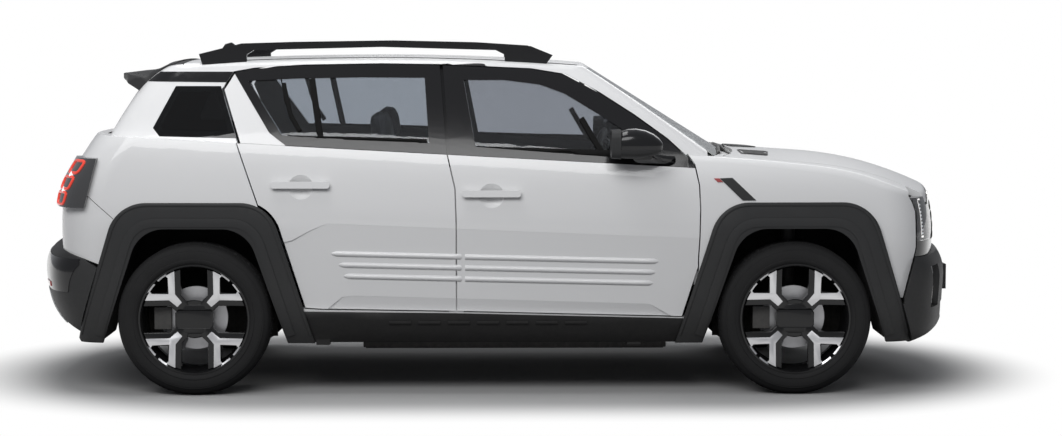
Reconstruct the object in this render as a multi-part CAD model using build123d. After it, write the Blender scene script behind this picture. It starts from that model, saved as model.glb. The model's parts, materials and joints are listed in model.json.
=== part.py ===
from build123d import *
import os
from math import cos, radians, sin, tan

# Electric crossover, millimetres. +X forward, +Y left, +Z up, origin on the ground at the middle.

# ---- driving dimensions --------------------------------------------------------------------------
WHEELBASE = 2624.0
FRONT_AXLE_X = 1305.0
REAR_AXLE_X = FRONT_AXLE_X - WHEELBASE
TRACK = 1560.0
TYRE_RADIUS = 334.0
TYRE_WIDTH = 196.0
RIM_RADIUS = 242.0
RIM_WIDTH = 176.0
BODY_GROW = 0.0            # added all round to the painted body
SIDE_WALL = 80.0           # thickness of a door or body side below the glass
CABIN_WALL = 42.0          # thickness of pillars and door frames beside the glass
PANEL = 32.0               # thickness of hood, fenders and end panels
ROOF_WALL = 28.0
SHUT_GAP = 5.5             # gap round each door, hood and tailgate
FRAME_GAP = 14.0           # gap behind each window frame
CLADDING_GAP = 9.0         # gap between a door and the wheel arch cladding
POST_GAP = 14.0            # between a door's inner box and the centre post
DOOR_SKIN = 24.0           # outer flange of a door, which overlaps the frame behind it
DOOR_REBATE = 18.0         # how far the inner part of a door stops short of its outline
PILLAR_HALF = 46.0         # half the width of the centre post behind the doors
GLASS = 5.0
PIN_CLEAR = 0.5            # at hinges, ball joints and bearings
SEAT = 0.3                 # between fixed pieces that seat on each other
GLASS_SEAT = 0.3           # adhesive line under and round each fixed pane
FLOOR_Z = 290.0
FLOOR_SHEET = 30.0
BATTERY_Z = 172.0
SILL_Z = 236.0
DOOR_BOTTOM_Z = 366.0
BULKHEAD_X = 905.0
POST_FRONT_X = 925.0       # front face of the post that carries the front door
BULKHEAD_SHEET = 30.0
LINER_SHEET = 3.0
LINER_INNER_Y = 490.0
LINER_OUTER_Y = 792.0
FLOOR_HALF = 700.0
KINGPIN_OFFSET = 60.0      # from the wheel's middle plane inboard to its steering axis

# Wheel opening and its cladding: half width at axle height, half width at the top, height, corner.
OPENING = (368.0, 232.0, 396.0, 150.0)
CLADDING = (490.0, 330.0, 510.0, 170.0)
LINER = (374.0, 262.0, 412.0, 165.0)
CLADDING_PROUD = 18.0
CLADDING_Z = 226.0

# Belt line under the side glass, falling to the front.
BELT_Z = 1039.6
BELT_FALL = 0.0543
DOOR_FRONT_X = 887.0
DOOR_SPLIT_X = -176.0
MIRROR_GAP = 6.0

# Plan stations of the painted body: height at x = 0, fall in degrees, nose, tail, half width.
BODY_STATIONS = [
    (180.0, 0.0, 1960.0, -1930.0, 812.0),
    (300.0, 0.2, 1985.0, -1962.0, 846.0),
    (400.0, 0.5, 1996.0, -1976.0, 863.0),
    (560.0, 1.0, 2008.0, -1985.0, 874.0),
    (715.0, 1.5, 2014.0, -1986.0, 886.0),
    (800.0, 1.9, 2012.0, -1975.0, 883.0),
    (900.0, 2.4, 2000.0, -1930.0, 873.0),
    (985.0, 2.9, 1985.0, -1868.0, 860.0),
    (1040.0, 3.1, 1965.0, -1825.0, 845.0),
    (1085.0, 3.1, 1930.0, -1780.0, 822.0),
    (1120.0, 3.1, 1890.0, -1740.0, 790.0),
]
# Plan stations of the cabin: height, windscreen, rear window, half width, bow, front corner.
CABIN_STATIONS = [
    (900.0, 1260.0, -1858.0, 850.0, 130.0, (150.0, 75.0)),
    (1044.0, 1038.0, -1802.0, 812.0, 85.0, (110.0, 70.0)),
    (1170.0, 836.0, -1736.0, 756.0, 60.0, (90.0, 62.0)),
    (1300.0, 628.0, -1660.0, 690.0, 38.0, (80.0, 58.0)),
    (1420.0, 436.0, -1576.0, 620.0, 28.0, (75.0, 56.0)),
    (1540.0, 245.0, -1490.0, 553.0, 20.0, (70.0, 52.0)),
]
# Plan stations of the black bumper faces: height, nose, tail, half width.
BUMPER_STATIONS = [
    (200.0, 1940.0, -1900.0, 850.0),
    (262.0, 2052.0, -1952.0, 872.0),
    (300.0, 2066.0, -2000.0, 880.0),
    (420.0, 2072.0, -2060.0, 888.0),
    (540.0, 2070.0, -2072.0, 890.0),
    (612.0, 2030.0, -2046.0, 884.0),
    (640.0, 1990.0, -1990.0, 876.0),
]

os.makedirs("parts", exist_ok=True)


# ---- helpers ---------------------------------------------------------------------------------------
def side_prism(outline, y0, y1):
    """A side-view outline of (x, z) points, carried from y0 to y1."""
    face = Face(Wire.make_polygon([Vector(x, y0, z) for x, z in outline]))
    return Solid.extrude(face, Vector(0, y1 - y0, 0))


def plan_prism(outline, z0, z1):
    face = Face(Wire.make_polygon([Vector(x, y, z0) for x, y in outline]))
    return Solid.extrude(face, Vector(0, 0, z1 - z0))


def front_prism(outline, x0, x1):
    face = Face(Wire.make_polygon([Vector(x0, y, z) for y, z in outline]))
    return Solid.extrude(face, Vector(x1 - x0, 0, 0))


def block(x0, x1, y0, y1, z0, z1):
    return Pos((x0 + x1) / 2, (y0 + y1) / 2, (z0 + z1) / 2) * Box(x1 - x0, y1 - y0, z1 - z0)


def mirrored(shape):
    return mirror(shape, Plane.XZ)


def joined(shapes):
    first, *rest = shapes
    for shape in rest:
        first = first + shape
    return first


def pieces(shape, smallest=2000.0):
    """The solids of a result, without slivers under the given volume."""
    return [solid for solid in shape.solids() if solid.volume > smallest]


def largest(shape):
    return max(shape.solids(), key=lambda solid: solid.volume)


def save(name, shapes):
    """Writes one node, labelled with its name."""
    if not isinstance(shapes, (list, tuple)):
        shapes = [shapes]
    solids = [solid for shape in shapes for solid in shape.solids()]
    node = solids[0] if len(solids) == 1 else Compound(solids)
    node.label = name
    export_step(node, "parts/" + name + ".step")


def plan_section(z0, fall, nose, tail, half, grow, front_bow=80.0, rear_bow=60.0,
                 front_flare=20.0, rear_flare=30.0, front_corner=(220.0, 240.0),
                 rear_corner=(200.0, 220.0)):
    """One closed plan curve: bowed ends and sides, joined by smooth corners."""
    drop = tan(radians(fall))
    nose, tail, half = nose + grow, tail - grow, half + grow

    def at(x, y):
        return Vector(x, y, z0 - x * drop)

    def other(point):
        return Vector(point.X, -point.Y, point.Z)

    nose_end = at(nose - front_bow, half - front_flare - front_corner[1])
    side_front = at(nose - front_bow - front_corner[0], half - front_flare)
    side_rear = at(tail + rear_bow + rear_corner[0], half - rear_flare)
    tail_end = at(tail + rear_bow, half - rear_flare - rear_corner[1])
    front = Edge.make_three_point_arc(other(nose_end), at(nose, 0), nose_end)
    left = Edge.make_three_point_arc(side_front, at(0, half), side_rear)
    rear = Edge.make_three_point_arc(tail_end, at(tail, 0), other(tail_end))
    right = Edge.make_three_point_arc(other(side_rear), other(at(0, half)), other(side_front))
    runs = [front, left, rear, right]
    edges = []
    for run, following in zip(runs, runs[1:] + runs[:1]):
        edges.append(run)
        edges.append(Edge.make_spline([run @ 1, following @ 0], tangents=[run % 1, following % 0]))
    return Wire(edges)


def body_loft(grow):
    return Solid.make_loft([plan_section(*station, grow=grow) for station in BODY_STATIONS])


def cabin_loft(grow):
    sections = []
    for z, nose, tail, half, bow, corner in CABIN_STATIONS:
        sections.append(plan_section(z, 0, nose, tail, half, grow, front_bow=bow, rear_bow=50,
                                     front_flare=14, rear_flare=40, front_corner=corner,
                                     rear_corner=(120, 95)))
    return Solid.make_loft(sections)


def bumper_loft(grow):
    sections = []
    for z, nose, tail, half in BUMPER_STATIONS:
        sections.append(plan_section(z, 0, nose, tail, half, grow, front_bow=90, rear_bow=80,
                                     front_corner=(230, 260), rear_corner=(230, 250)))
    return Solid.make_loft(sections)


def hood_height(x, y):
    crown = 10 + 60 * ((x - 900) / 900) ** 2
    return 1050 - 0.05 * (x - 950) - 4e-4 * max(0, x - 1450) ** 2 - crown * (y / 800) ** 2


def roof_height(x, y):
    bend = 4.5e-5 if x > -500 else 2.9e-5
    return 1482 - bend * (x + 500) ** 2 - 16 * (y / 600) ** 2


def space_above(height, x0, x1, drop=0.0, across=1000.0, rows=13, columns=9):
    """The space over a crowned surface given as a height at each x and y."""
    grid = []
    for i in range(rows):
        x = x0 + (x1 - x0) * i / (rows - 1)
        line = [-across + 2 * across * j / (columns - 1) for j in range(columns)]
        grid.append([Vector(x, y, height(x, y) - drop) for y in line])
    return Solid.extrude(Face.make_surface_from_array_of_points(grid, tol=0.5), Vector(0, 0, 600))


def belt(x):
    return BELT_Z - BELT_FALL * x


def arch_outline(x, shape, z_low, y):
    """A wheel arch in side view: straight flanks and a flat crown with round shoulders."""
    base, top, height, corner = shape
    spread = (base - top) / height
    low = TYRE_RADIUS - z_low
    foot = base + spread * low
    points = [(x - foot, z_low), (x - top, TYRE_RADIUS + height),
              (x + top, TYRE_RADIUS + height), (x + foot, z_low)]
    wire = Wire.make_polygon([Vector(px, y, pz) for px, pz in points])
    shoulders = [v for v in wire.vertices() if v.Z > TYRE_RADIUS]
    return wire.fillet_2d(corner, shoulders)


def arch_prism(x, shape, y0, y1, grow=0.0, z_low=100.0):
    base, top, height, corner = shape
    grown = (base + grow, top + grow, height + grow, corner + grow)
    face = Face(arch_outline(x, grown, z_low, y0))
    return Solid.extrude(face, Vector(0, y1 - y0, 0))


# ---- the outer form ----------------------------------------------------------------------------------
HOOD_RADIUS = 45.0
ROOF_RADIUS = 45.0



def over_tail(drop=0.0):
    """The space over the roof's rear end, which falls away under the spoiler."""
    line = [(-1424, 1460), (-1470, 1436), (-1515, 1414), (-1700, 1392)]
    lowered = [(x, z - drop) for x, z in line]
    return side_prism(lowered + [(-1700, 1700), (-1424, 1700)], -1000, 1000)


over_hood = space_above(hood_height, 700, 2160)
over_roof = space_above(roof_height, -2000, 900)
lower_form = (body_loft(BODY_GROW) - over_hood).solid()
hood_face = max([f for f in lower_form.faces() if f.center().X > 900 and f.normal_at(f.center()).Z > 0.8],
                key=lambda f: f.area)
long_edges = [e for e in hood_face.edges() if e.bounding_box().size.X > 20]
lower_form = lower_form.fillet(HOOD_RADIUS, long_edges)
SHOULDER_FRONT_X = 835.0
over_belt = side_prism([(-2500, belt(-2500)), (SHOULDER_FRONT_X, belt(SHOULDER_FRONT_X)),
                        (SHOULDER_FRONT_X, 1700), (-2500, 1700)], -1000, 1000)
lower_form = lower_form - over_belt
cabin_form = (cabin_loft(BODY_GROW) - over_roof).solid()
roof_face = max([f for f in cabin_form.faces() if f.normal_at(f.center()).Z > 0.9], key=lambda f: f.area)
cabin_form = cabin_form.fillet(ROOF_RADIUS, roof_face.edges())
outer = lower_form + (cabin_form - over_tail())

# The space inside the walls.
under_hood = body_loft(BODY_GROW - PANEL) - space_above(hood_height, 600, 2160, drop=PANEL)
cabin_space = cabin_loft(BODY_GROW - CABIN_WALL) - space_above(roof_height, -2000, 900, drop=ROOF_WALL)
cabin_space = cabin_space - over_tail(drop=ROOF_WALL)
side_space = body_loft(BODY_GROW - SIDE_WALL) - side_prism(
    [(-2500, belt(-2500) - 6), (2500, belt(2500) - 6), (2500, 1700), (-2500, 1700)], -1000, 1000)
inside = side_space + cabin_space
above_floor = block(-2500, 2500, -1000, 1000, FLOOR_Z, 1700)

BAY = block(POST_FRONT_X + 3, 2500, -1000, 1000, 100, 1200)
bay_space = under_hood & BAY
hollow = (inside & above_floor)
shell = outer - hollow - bay_space
shell_front = outer - bay_space

# ---- side-view outlines ------------------------------------------------------------------------------
FAR = 1200.0
front_door_edge = [(DOOR_FRONT_X - 52, 1049), (DOOR_FRONT_X - 23, 1006), (DOOR_FRONT_X - 4, 917),
                   (DOOR_FRONT_X, 812), (DOOR_FRONT_X - 3, 690), (DOOR_FRONT_X - 8, 600),
                   (DOOR_FRONT_X - 8, DOOR_BOTTOM_Z - 26)]
window_line = [(-1164, 1408), (-1074, 1424), (-859, 1438), (-510, 1444), (DOOR_SPLIT_X - 74, 1440),
               (152, 1422), (304, 1397), (455, 1317), (605, 1221), (748, 1118), (828, 1044)]
split_line = [(DOOR_SPLIT_X - 74, 1440), (DOOR_SPLIT_X - 40, 1056), (DOOR_SPLIT_X - 5, 904),
              (DOOR_SPLIT_X, 755), (DOOR_SPLIT_X, DOOR_BOTTOM_Z)]
rear_door_edge = [(-1036, 829), (-1136, 1113), (-1212, 1330)]

front_outline = (list(reversed(split_line)) + window_line[5:] + front_door_edge)
rear_outline = (split_line + [(-760, DOOR_BOTTOM_Z + 10), (-850, DOOR_BOTTOM_Z + 16), (-1036, 700)]
                + rear_door_edge + window_line[:4])


def grown_prism(outline, amount, y0, y1):
    """A side-view outline grown (or shrunk) all round by amount."""
    wire = Wire.make_polygon([Vector(x, y0, z) for x, z in outline])
    if amount:
        wire = wire.offset_2d(amount, kind=Kind.INTERSECTION)
        wire = wire if isinstance(wire, Wire) else wire.wires()[0]
    return Solid.extrude(Face(wire), Vector(0, y1 - y0, 0))


half_gap = SHUT_GAP / 2

skin_space = cabin_loft(BODY_GROW - DOOR_SKIN) + (body_loft(BODY_GROW - DOOR_SKIN) - side_prism(
    [(-2500, belt(-2500) - DOOR_SKIN), (2500, belt(2500) - DOOR_SKIN), (2500, 1700), (-2500, 1700)],
    -1000, 1000))
left_side = block(-2500, 2500, 300, FAR, 100, 1700)
post_line = [(split_line[0][0], 1520)] + split_line + [(DOOR_SPLIT_X, SILL_Z + 10)]


def post_prism(half):
    """The centre post in side view, following the line between the doors."""
    front = [(x + half, z) for x, z in post_line]
    rear = [(x - half, z) for x, z in reversed(post_line)]
    return side_prism(front + rear, 300, FAR)


post = post_prism(PILLAR_HALF)


def door(outline, axle_x):
    """A door: an outer flange with the full outline, and a box behind it that clears the frame."""
    arch_clear = arch_prism(axle_x, CLADDING, 300, FAR, grow=CLADDING_GAP)
    arch_box_clear = arch_prism(axle_x, CLADDING, 300, FAR, grow=CLADDING_GAP + DOOR_REBATE)
    wall = shell & left_side
    flange = (wall & grown_prism(outline, -half_gap, 300, FAR)) - skin_space
    box = (wall & grown_prism(outline, -DOOR_REBATE, 300, FAR)) & skin_space
    panel = flange + (box - post - arch_box_clear)
    return largest(panel - arch_clear)


def lean_loft(stations):
    """Flat facets through plan sections, where the lower doors lean in."""
    return Solid.make_loft([plan_section(*station, grow=BODY_GROW) for station in stations], ruled=True)


def crease(height, fall, x):
    return height - x * tan(radians(fall)) - 1


# The lower doors lean in below one crease, and tuck under below a second.
LEAN_Z = 725.5
LEAN_FALL = 2.34
TUCK_Z = 421.0
TUCK_FALL = 1.5
LEAN_STATIONS = [(330.0, 0.4, 1989.0, -1967.0, 844.0), (LEAN_Z, LEAN_FALL, 2013.0, -1985.0, 885.8)]
TUCK_STATIONS = [(330.0, 0.4, 1989.0, -1967.0, 828.0), (TUCK_Z, TUCK_FALL, 1997.0, -1977.0, 853.6)]
lean_line = [(x, crease(LEAN_Z, LEAN_FALL, x)) for x in (-737, 950)]
lean_zone = side_prism([(-1060, 640), (-890, 681), (-811, 724)] + lean_line + [(950, 341), (-1060, 341)], 600, FAR)
tuck_line = [(x, crease(TUCK_Z, TUCK_FALL, x)) for x in (-624, 628)]
tuck_zone = side_prism([(-737, 380), (-676, 430)] + tuck_line + [(672, 397), (763, 345), (763, 341), (-737, 341)],
                       600, FAR)
lean_cut = (lean_zone - lean_loft(LEAN_STATIONS)) + (tuck_zone - lean_loft(TUCK_STATIONS))

# Door handles: a bar over a shallow dish, with a foot at each end.
HANDLE_LENGTH = 254.0
HANDLE_HEIGHT = 29.0
HANDLE_PROUD = 22.0
HANDLE_SPACE = 9.0         # between the bar and the door
HANDLE_FOOT = 40.0
DISH_HALF = 54.0
DISH_DEPTH = 15.0
FRONT_HANDLE = (-22.0, 884.0)
REAR_HANDLE = (-852.0, 922.0)
handle_layer = body_loft(BODY_GROW + HANDLE_PROUD) - body_loft(BODY_GROW + HANDLE_SPACE)
foot_layer = body_loft(BODY_GROW + HANDLE_SPACE + 1) - body_loft(BODY_GROW - 4)


def bar_outline(x, z, half_long, half_high):
    """A long octagon in side view."""
    cut = half_high * 0.45
    return [(x - half_long, z - cut), (x - half_long + cut, z - half_high), (x + half_long - cut, z - half_high),
            (x + half_long, z - cut), (x + half_long, z + cut), (x + half_long - cut, z + half_high),
            (x - half_long + cut, z + half_high), (x - half_long, z + cut)]


def with_handle(panel, place):
    """A door with its grip dish and handle."""
    x, z = place
    probe = outer & block(x - 1, x + 1, 300, FAR, z - 1, z + 1)
    skin_y = probe.bounding_box().max.Y
    radius = (DISH_HALF ** 2 + DISH_DEPTH ** 2) / (2 * DISH_DEPTH)
    panel = panel - Pos(x, skin_y - DISH_DEPTH + radius, z) * Sphere(radius)
    half = HANDLE_LENGTH / 2
    bar = handle_layer & side_prism(bar_outline(x, z, half, HANDLE_HEIGHT / 2), 600, FAR)
    for foot_x in (x - half + HANDLE_FOOT, x + half - HANDLE_FOOT):
        foot = bar_outline(foot_x, z, HANDLE_FOOT - 4, HANDLE_HEIGHT / 2 - 4)
        bar = bar + (foot_layer & side_prism(foot, 600, FAR))
    return panel + bar


def rear_relief(edge, y_outer=FAR):
    """The strip that a window frame gives up at its rear edge, because its top leans in from the hinge."""
    ahead = [(x + FRAME_GAP - SHUT_GAP + half_gap, z) for x, z in reversed(edge)]
    behind = [(x - 30, z) for x, z in edge]
    return side_prism(behind + ahead, 300, y_outer)


SHOULDER_Y = 816.0
front_window = [(-146, 1372), (30, 1372), (190, 1352), (300, 1312), (470, 1210), (640, 1100), (700, 1052),
                (600, belt(600) + 24), (-92, belt(-92) + 40)]
rear_window = [(-1098, 1368), (-900, 1378), (-600, 1384), (-318, 1382), (-296, belt(-296) + 44),
               (-740, belt(-740) + 40), (-940, belt(-940) + 42)]


front_window_cut = grown_prism(front_window, 0, 300, FAR)
rear_window_cut = grown_prism(rear_window, 0, 300, FAR)
left_front_door = door(front_outline, FRONT_AXLE_X) - rear_relief(split_line[:2])
left_front_door = left_front_door - rear_relief([split_line[1], (DOOR_SPLIT_X - 20, belt(0) - 60)], SHOULDER_Y)
left_rear_door = door(rear_outline, REAR_AXLE_X) - rear_relief(
    [(-1136, 1113), (-1212, 1330), (-1168, 1404), (-1100, 1424)])
left_rear_door = left_rear_door - rear_relief([(-1112, 1040), (-1136, 1113)], SHOULDER_Y)
left_front_door = largest(with_handle(left_front_door - front_window_cut - lean_cut, FRONT_HANDLE))
left_rear_door = largest(with_handle(left_rear_door - rear_window_cut - lean_cut, REAR_HANDLE))

pane = cabin_loft(BODY_GROW - 2) - cabin_loft(BODY_GROW - 2 - GLASS)
pane_left = pane & left_side
front_door_pane = largest(pane_left & grown_prism(front_window, -GLASS_SEAT, 300, FAR))
rear_door_pane = largest(pane_left & grown_prism(rear_window, -GLASS_SEAT, 300, FAR))
save("front_door_left", left_front_door)
save("front_door_right", mirrored(left_front_door))
save("rear_door_left", left_rear_door)
save("rear_door_right", mirrored(left_rear_door))
save("front_door_glass_left", front_door_pane)
save("front_door_glass_right", mirrored(front_door_pane))
save("rear_door_glass_left", rear_door_pane)
save("rear_door_glass_right", mirrored(rear_door_pane))

# ---- hood, roof, tailgate and their openings ---------------------------------------------------------
HOOD_REAR_X = 1000.0
HOOD_BOW = 96.0
HOOD_HALF_REAR = 712.0
HOOD_HALF_FRONT = 668.0
HOOD_FRONT_X = 1905.0
HOOD_NOSE_BOW = 62.0
ROOF_HALF = 545.0
ROOF_REAR_X = -1395.0
TAIL_HALF = 556.0
TAIL_LOW_Z = 668.0


def hood_outline(gap):
    """The hood in plan: bowed at the windscreen and at the nose."""
    rear_x = HOOD_REAR_X - gap
    front_x = HOOD_FRONT_X + gap
    rear_half = HOOD_HALF_REAR + gap
    front_half = HOOD_HALF_FRONT + gap
    rear = Edge.make_three_point_arc(Vector(rear_x, -rear_half, 0), Vector(rear_x + HOOD_BOW, 0, 0),
                                     Vector(rear_x, rear_half, 0))
    front = Edge.make_three_point_arc(Vector(front_x, front_half, 0),
                                      Vector(front_x + HOOD_NOSE_BOW, 0, 0),
                                      Vector(front_x, -front_half, 0))
    left = Edge.make_line(rear @ 1, front @ 0)
    right = Edge.make_line(front @ 1, rear @ 0)
    return Wire([rear, left, front, right])


def hood_prism(gap):
    return Solid.extrude(Face(hood_outline(gap)).moved(Location((0, 0, 820))), Vector(0, 0, 400))


hood_layer = space_above(hood_height, 600, 2160, drop=PANEL)
hood = largest(outer & hood_prism(0) & hood_layer)
hood_clear = hood_prism(SHUT_GAP + 2) & space_above(hood_height, 600, 2160, drop=PANEL + SHUT_GAP)
save("hood", hood)

ROOF_GAP = SHUT_GAP + 1.5
roof_prism = block(ROOF_REAR_X + ROOF_GAP, 700, -ROOF_HALF, ROOF_HALF, 1300, 1700)
roof_layer = space_above(roof_height, -2000, 900, drop=ROOF_WALL)

tail_outline = [(-TAIL_HALF, 1600), (-TAIL_HALF, TAIL_LOW_Z), (TAIL_HALF, TAIL_LOW_Z), (TAIL_HALF, 1600)]


def tail_prism(gap):
    wire = Wire.make_polygon([Vector(-2300, y, z) for y, z in tail_outline])
    if gap:
        wire = wire.offset_2d(gap, kind=Kind.INTERSECTION)
        wire = wire if isinstance(wire, Wire) else wire.wires()[0]
    return Solid.extrude(Face(wire), Vector(2300 + ROOF_REAR_X + gap, 0, 0))


TAIL_WALL = 50.0
tail_space = (body_loft(BODY_GROW - TAIL_WALL) - side_prism(
    [(-2500, belt(-2500) - 6), (2500, belt(2500) - 6), (2500, 1700), (-2500, 1700)], -1000, 1000))
tail_shell = outer - (tail_space + cabin_space)
tailgate = largest(tail_shell & tail_prism(0))
tail_window = [(-486, 1362), (-500, 1128), (500, 1128), (486, 1362)]
tail_window_cut = front_prism(tail_window, -2300, -1300)
tail_recess = cabin_loft(BODY_GROW + 20) - cabin_loft(BODY_GROW - GLASS - 1)
tail_glass_outline = [(-530, 1392), (-546, 1098), (546, 1098), (530, 1392)]
tail_glass_prism = front_prism(tail_glass_outline, -2300, -1300)
tailgate = largest(tailgate - tail_window_cut - (tail_recess & tail_glass_prism))
glass_layer = cabin_loft(BODY_GROW - 1) - cabin_loft(BODY_GROW - GLASS - 1 + GLASS_SEAT)
tail_pane_outline = [(-529, 1391), (-545, 1099), (545, 1099), (529, 1391)]
tailgate_glass = largest(glass_layer & front_prism(tail_pane_outline, -2300, -1300))
# Flat places for the number plates, 520 by 114 mm.
PLATE_HALF = 260.0
PLATE_HIGH = 114.0
FRONT_PLATE_X = 2077.0
FRONT_PLATE_Z = 402.0
REAR_PLATE_X = -1991.0
REAR_PLATE_Z = 742.0
tailgate = tailgate + block(REAR_PLATE_X, REAR_PLATE_X + 40, -PLATE_HALF, PLATE_HALF, REAR_PLATE_Z,
                            REAR_PLATE_Z + PLATE_HIGH)
save("tailgate", largest(tailgate))
save("tailgate_glass", tailgate_glass)

# The windscreen lies in a recess of the frame.
screen_outline = [(-742, 1006), (742, 1006), (566, 1424), (-566, 1424)]
screen_cut = front_prism([(-706, 940), (706, 940), (532, 1392), (-532, 1392)], 200, 1400)
screen_recess = tail_recess & front_prism(screen_outline, 200, 1400)
windscreen = largest(glass_layer & front_prism([(-741, 1007), (741, 1007), (565, 1423), (-565, 1423)],
                                               200, 1400))
windscreen = largest(windscreen - hood_clear)
save("windscreen", windscreen)
roof = (outer & roof_prism & roof_layer) - screen_cut - screen_recess
ROOF_HINGE_Y = 400.0
ROOF_HINGE_X = (ROOF_REAR_X + PIN_CLEAR, ROOF_REAR_X + 40)
ROOF_HINGE_Z = (1424.0, 1446.0)
for y in (-ROOF_HINGE_Y, ROOF_HINGE_Y):
    roof = roof + block(*ROOF_HINGE_X, y - 25, y + 25, *ROOF_HINGE_Z)
save("roof_panel", largest(roof))

# ---- body sides, fenders and ends --------------------------------------------------------------------
FENDER_LOW_Z = 420.0
FENDER_NOSE = [(1812, 900), (1806, 868), (1822, 840), (1836, 800), (1838, 640), (1828, 600), (1782, FENDER_LOW_Z)]
fender_outline = ([(DOOR_FRONT_X - 60, 1100)] + front_door_edge[:-1]
                  + [(DOOR_FRONT_X - 8, FENDER_LOW_Z), (1782, FENDER_LOW_Z)]
                  + list(reversed(FENDER_NOSE[:-1])) + [(1812, 1100)])
fender_layer = shell_front & block(600, 2300, 300, FAR, 300, 1200)
opening_front = arch_prism(FRONT_AXLE_X, OPENING, 0, FAR, grow=14)
opening_rear = arch_prism(REAR_AXLE_X, OPENING, 0, FAR, grow=14)
fender_space = body_loft(BODY_GROW - PANEL) - space_above(hood_height, 600, 2160, drop=PANEL)
cowl_clear = cabin_loft(BODY_GROW + 3)
fender = ((outer - fender_space) & grown_prism(fender_outline, -half_gap, 400, FAR)) - hood_clear
fender = largest(fender - opening_front - cowl_clear)
save("front_fender_left", fender)
save("front_fender_right", mirrored(fender))

BUMPER_LINE = [(-2200, 905), (-1776, 873), (-1667, 777), (-1640, 740), (-1640, 200), (-2200, 200)]
LAMP = [(-1738, 1036), (-1960, 1036), (-1960, 822), (-1790, 822), (-1776, 873)]
LAMP_INNER_Y = TAIL_HALF + SHUT_GAP
lamp_zone = side_prism(LAMP, LAMP_INNER_Y, FAR)
rear_bumper_zone = side_prism(BUMPER_LINE, -FAR, FAR)
side_low = block(-2500, POST_FRONT_X, 300, FAR, SILL_Z + 8, 1700) - block(-2500, 2500, 0, FLOOR_HALF, 0, FLOOR_Z)
body_side = shell & side_low
door_room = (grown_prism(front_outline, half_gap, 300, FAR) + grown_prism(rear_outline, half_gap, 300, FAR))
post_keep = post_prism(PILLAR_HALF - POST_GAP)
SKIN_CLEAR = DOOR_SKIN + SHUT_GAP
post_space = cabin_loft(BODY_GROW - SKIN_CLEAR) + (body_loft(BODY_GROW - SKIN_CLEAR) - side_prism(
    [(-2500, belt(-2500) - SKIN_CLEAR), (2500, belt(2500) - SKIN_CLEAR), (2500, 1700), (-2500, 1700)],
    -1000, 1000))
door_room = door_room - (post_keep & post_space)
body_side = body_side - door_room
fender_zone = grown_prism(fender_outline, half_gap, 400, FAR) - (
    body_loft(BODY_GROW - PANEL - 1) - space_above(hood_height, 600, 2160, drop=PANEL + 1))
body_side = body_side - (fender_zone - cowl_clear) - hood_clear
liner_room = (arch_prism(FRONT_AXLE_X, LINER, 300, LINER_OUTER_Y + 1, grow=LINER_SHEET + 1)
              + arch_prism(REAR_AXLE_X, LINER, 300, LINER_OUTER_Y + 1, grow=LINER_SHEET + 1))
body_side = body_side - opening_rear - opening_front - liner_room
roof_room = block(ROOF_REAR_X, 700, -ROOF_HALF, ROOF_HALF, 1300, 1700)
body_side = body_side - screen_cut - screen_recess - roof_room - tail_prism(SHUT_GAP)
body_side = body_side - lamp_zone - rear_bumper_zone
quarter_pane = [(-1418, 1346), (-1218, 1346), (-1140, 1120), (-1478, 1128), (-1508, 1164)]
quarter_cut = grown_prism(quarter_pane, -26, 300, FAR)
quarter_recess = tail_recess & grown_prism(quarter_pane, 0.3, 300, FAR)
body_side = body_side - quarter_cut - quarter_recess
HINGE_HEIGHTS = (510.0, 830.0)
HINGE_LEAF = 60.0
HINGE_Y = (800.0, 830.0)
for z in HINGE_HEIGHTS:
    door_face = DOOR_FRONT_X - DOOR_REBATE if z > 600 else DOOR_FRONT_X - 8 - DOOR_REBATE
    body_side = body_side + block(door_face + PIN_CLEAR, POST_FRONT_X - 5, *HINGE_Y, z - HINGE_LEAF / 2,
                                  z + HINGE_LEAF / 2)
    body_side = body_side + block(DOOR_SPLIT_X - PILLAR_HALF + PIN_CLEAR, DOOR_SPLIT_X, *HINGE_Y,
                                  z - HINGE_LEAF / 2, z + HINGE_LEAF / 2)
body_side = largest(body_side)
save("body_side_left", body_side)
save("body_side_right", mirrored(body_side))
quarter_glass = largest(glass_layer & grown_prism(quarter_pane, 0, 300, FAR))
save("quarter_glass", [quarter_glass, mirrored(quarter_glass)])

# ---- nose: vizor panel, headlamps and bumper -----------------------------------------------------------
LAMP_Y = 470.0
LAMP_LOW_Z = 668.0
LAMP_HIGH_Z = 858.0
NOSE_WALL = 40.0
BUMPER_WALL = 40.0
BUMPER_TOP_Z = 600.0
BUMPER_LOW_Z = 202.0
NOSE_LOW_Z = BUMPER_TOP_Z + SEAT
nose_zone = side_prism([(1700, NOSE_LOW_Z), (2200, NOSE_LOW_Z), (2200, 1000), (1700, 1000)], -FAR, FAR)
nose = (outer - body_loft(BODY_GROW - NOSE_WALL)) & nose_zone
nose = nose + ((outer & hood_layer) & nose_zone)
fender_block = grown_prism(fender_outline, half_gap, 300, FAR)
nose = nose - fender_block - mirrored(fender_block) - hood_prism(SHUT_GAP)
lamp_block = block(1700, 2200, LAMP_Y, FAR, LAMP_LOW_Z, LAMP_HIGH_Z)
headlamp = largest(nose & lamp_block)
lamp_clear = block(1700, 2200, LAMP_Y - 0.5, FAR, LAMP_LOW_Z - 0.5, LAMP_HIGH_Z + 0.5)
front_panel = largest(nose - lamp_clear - mirrored(lamp_clear))
save("headlamps", [headlamp, mirrored(headlamp)])
save("front_panel", front_panel)

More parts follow.
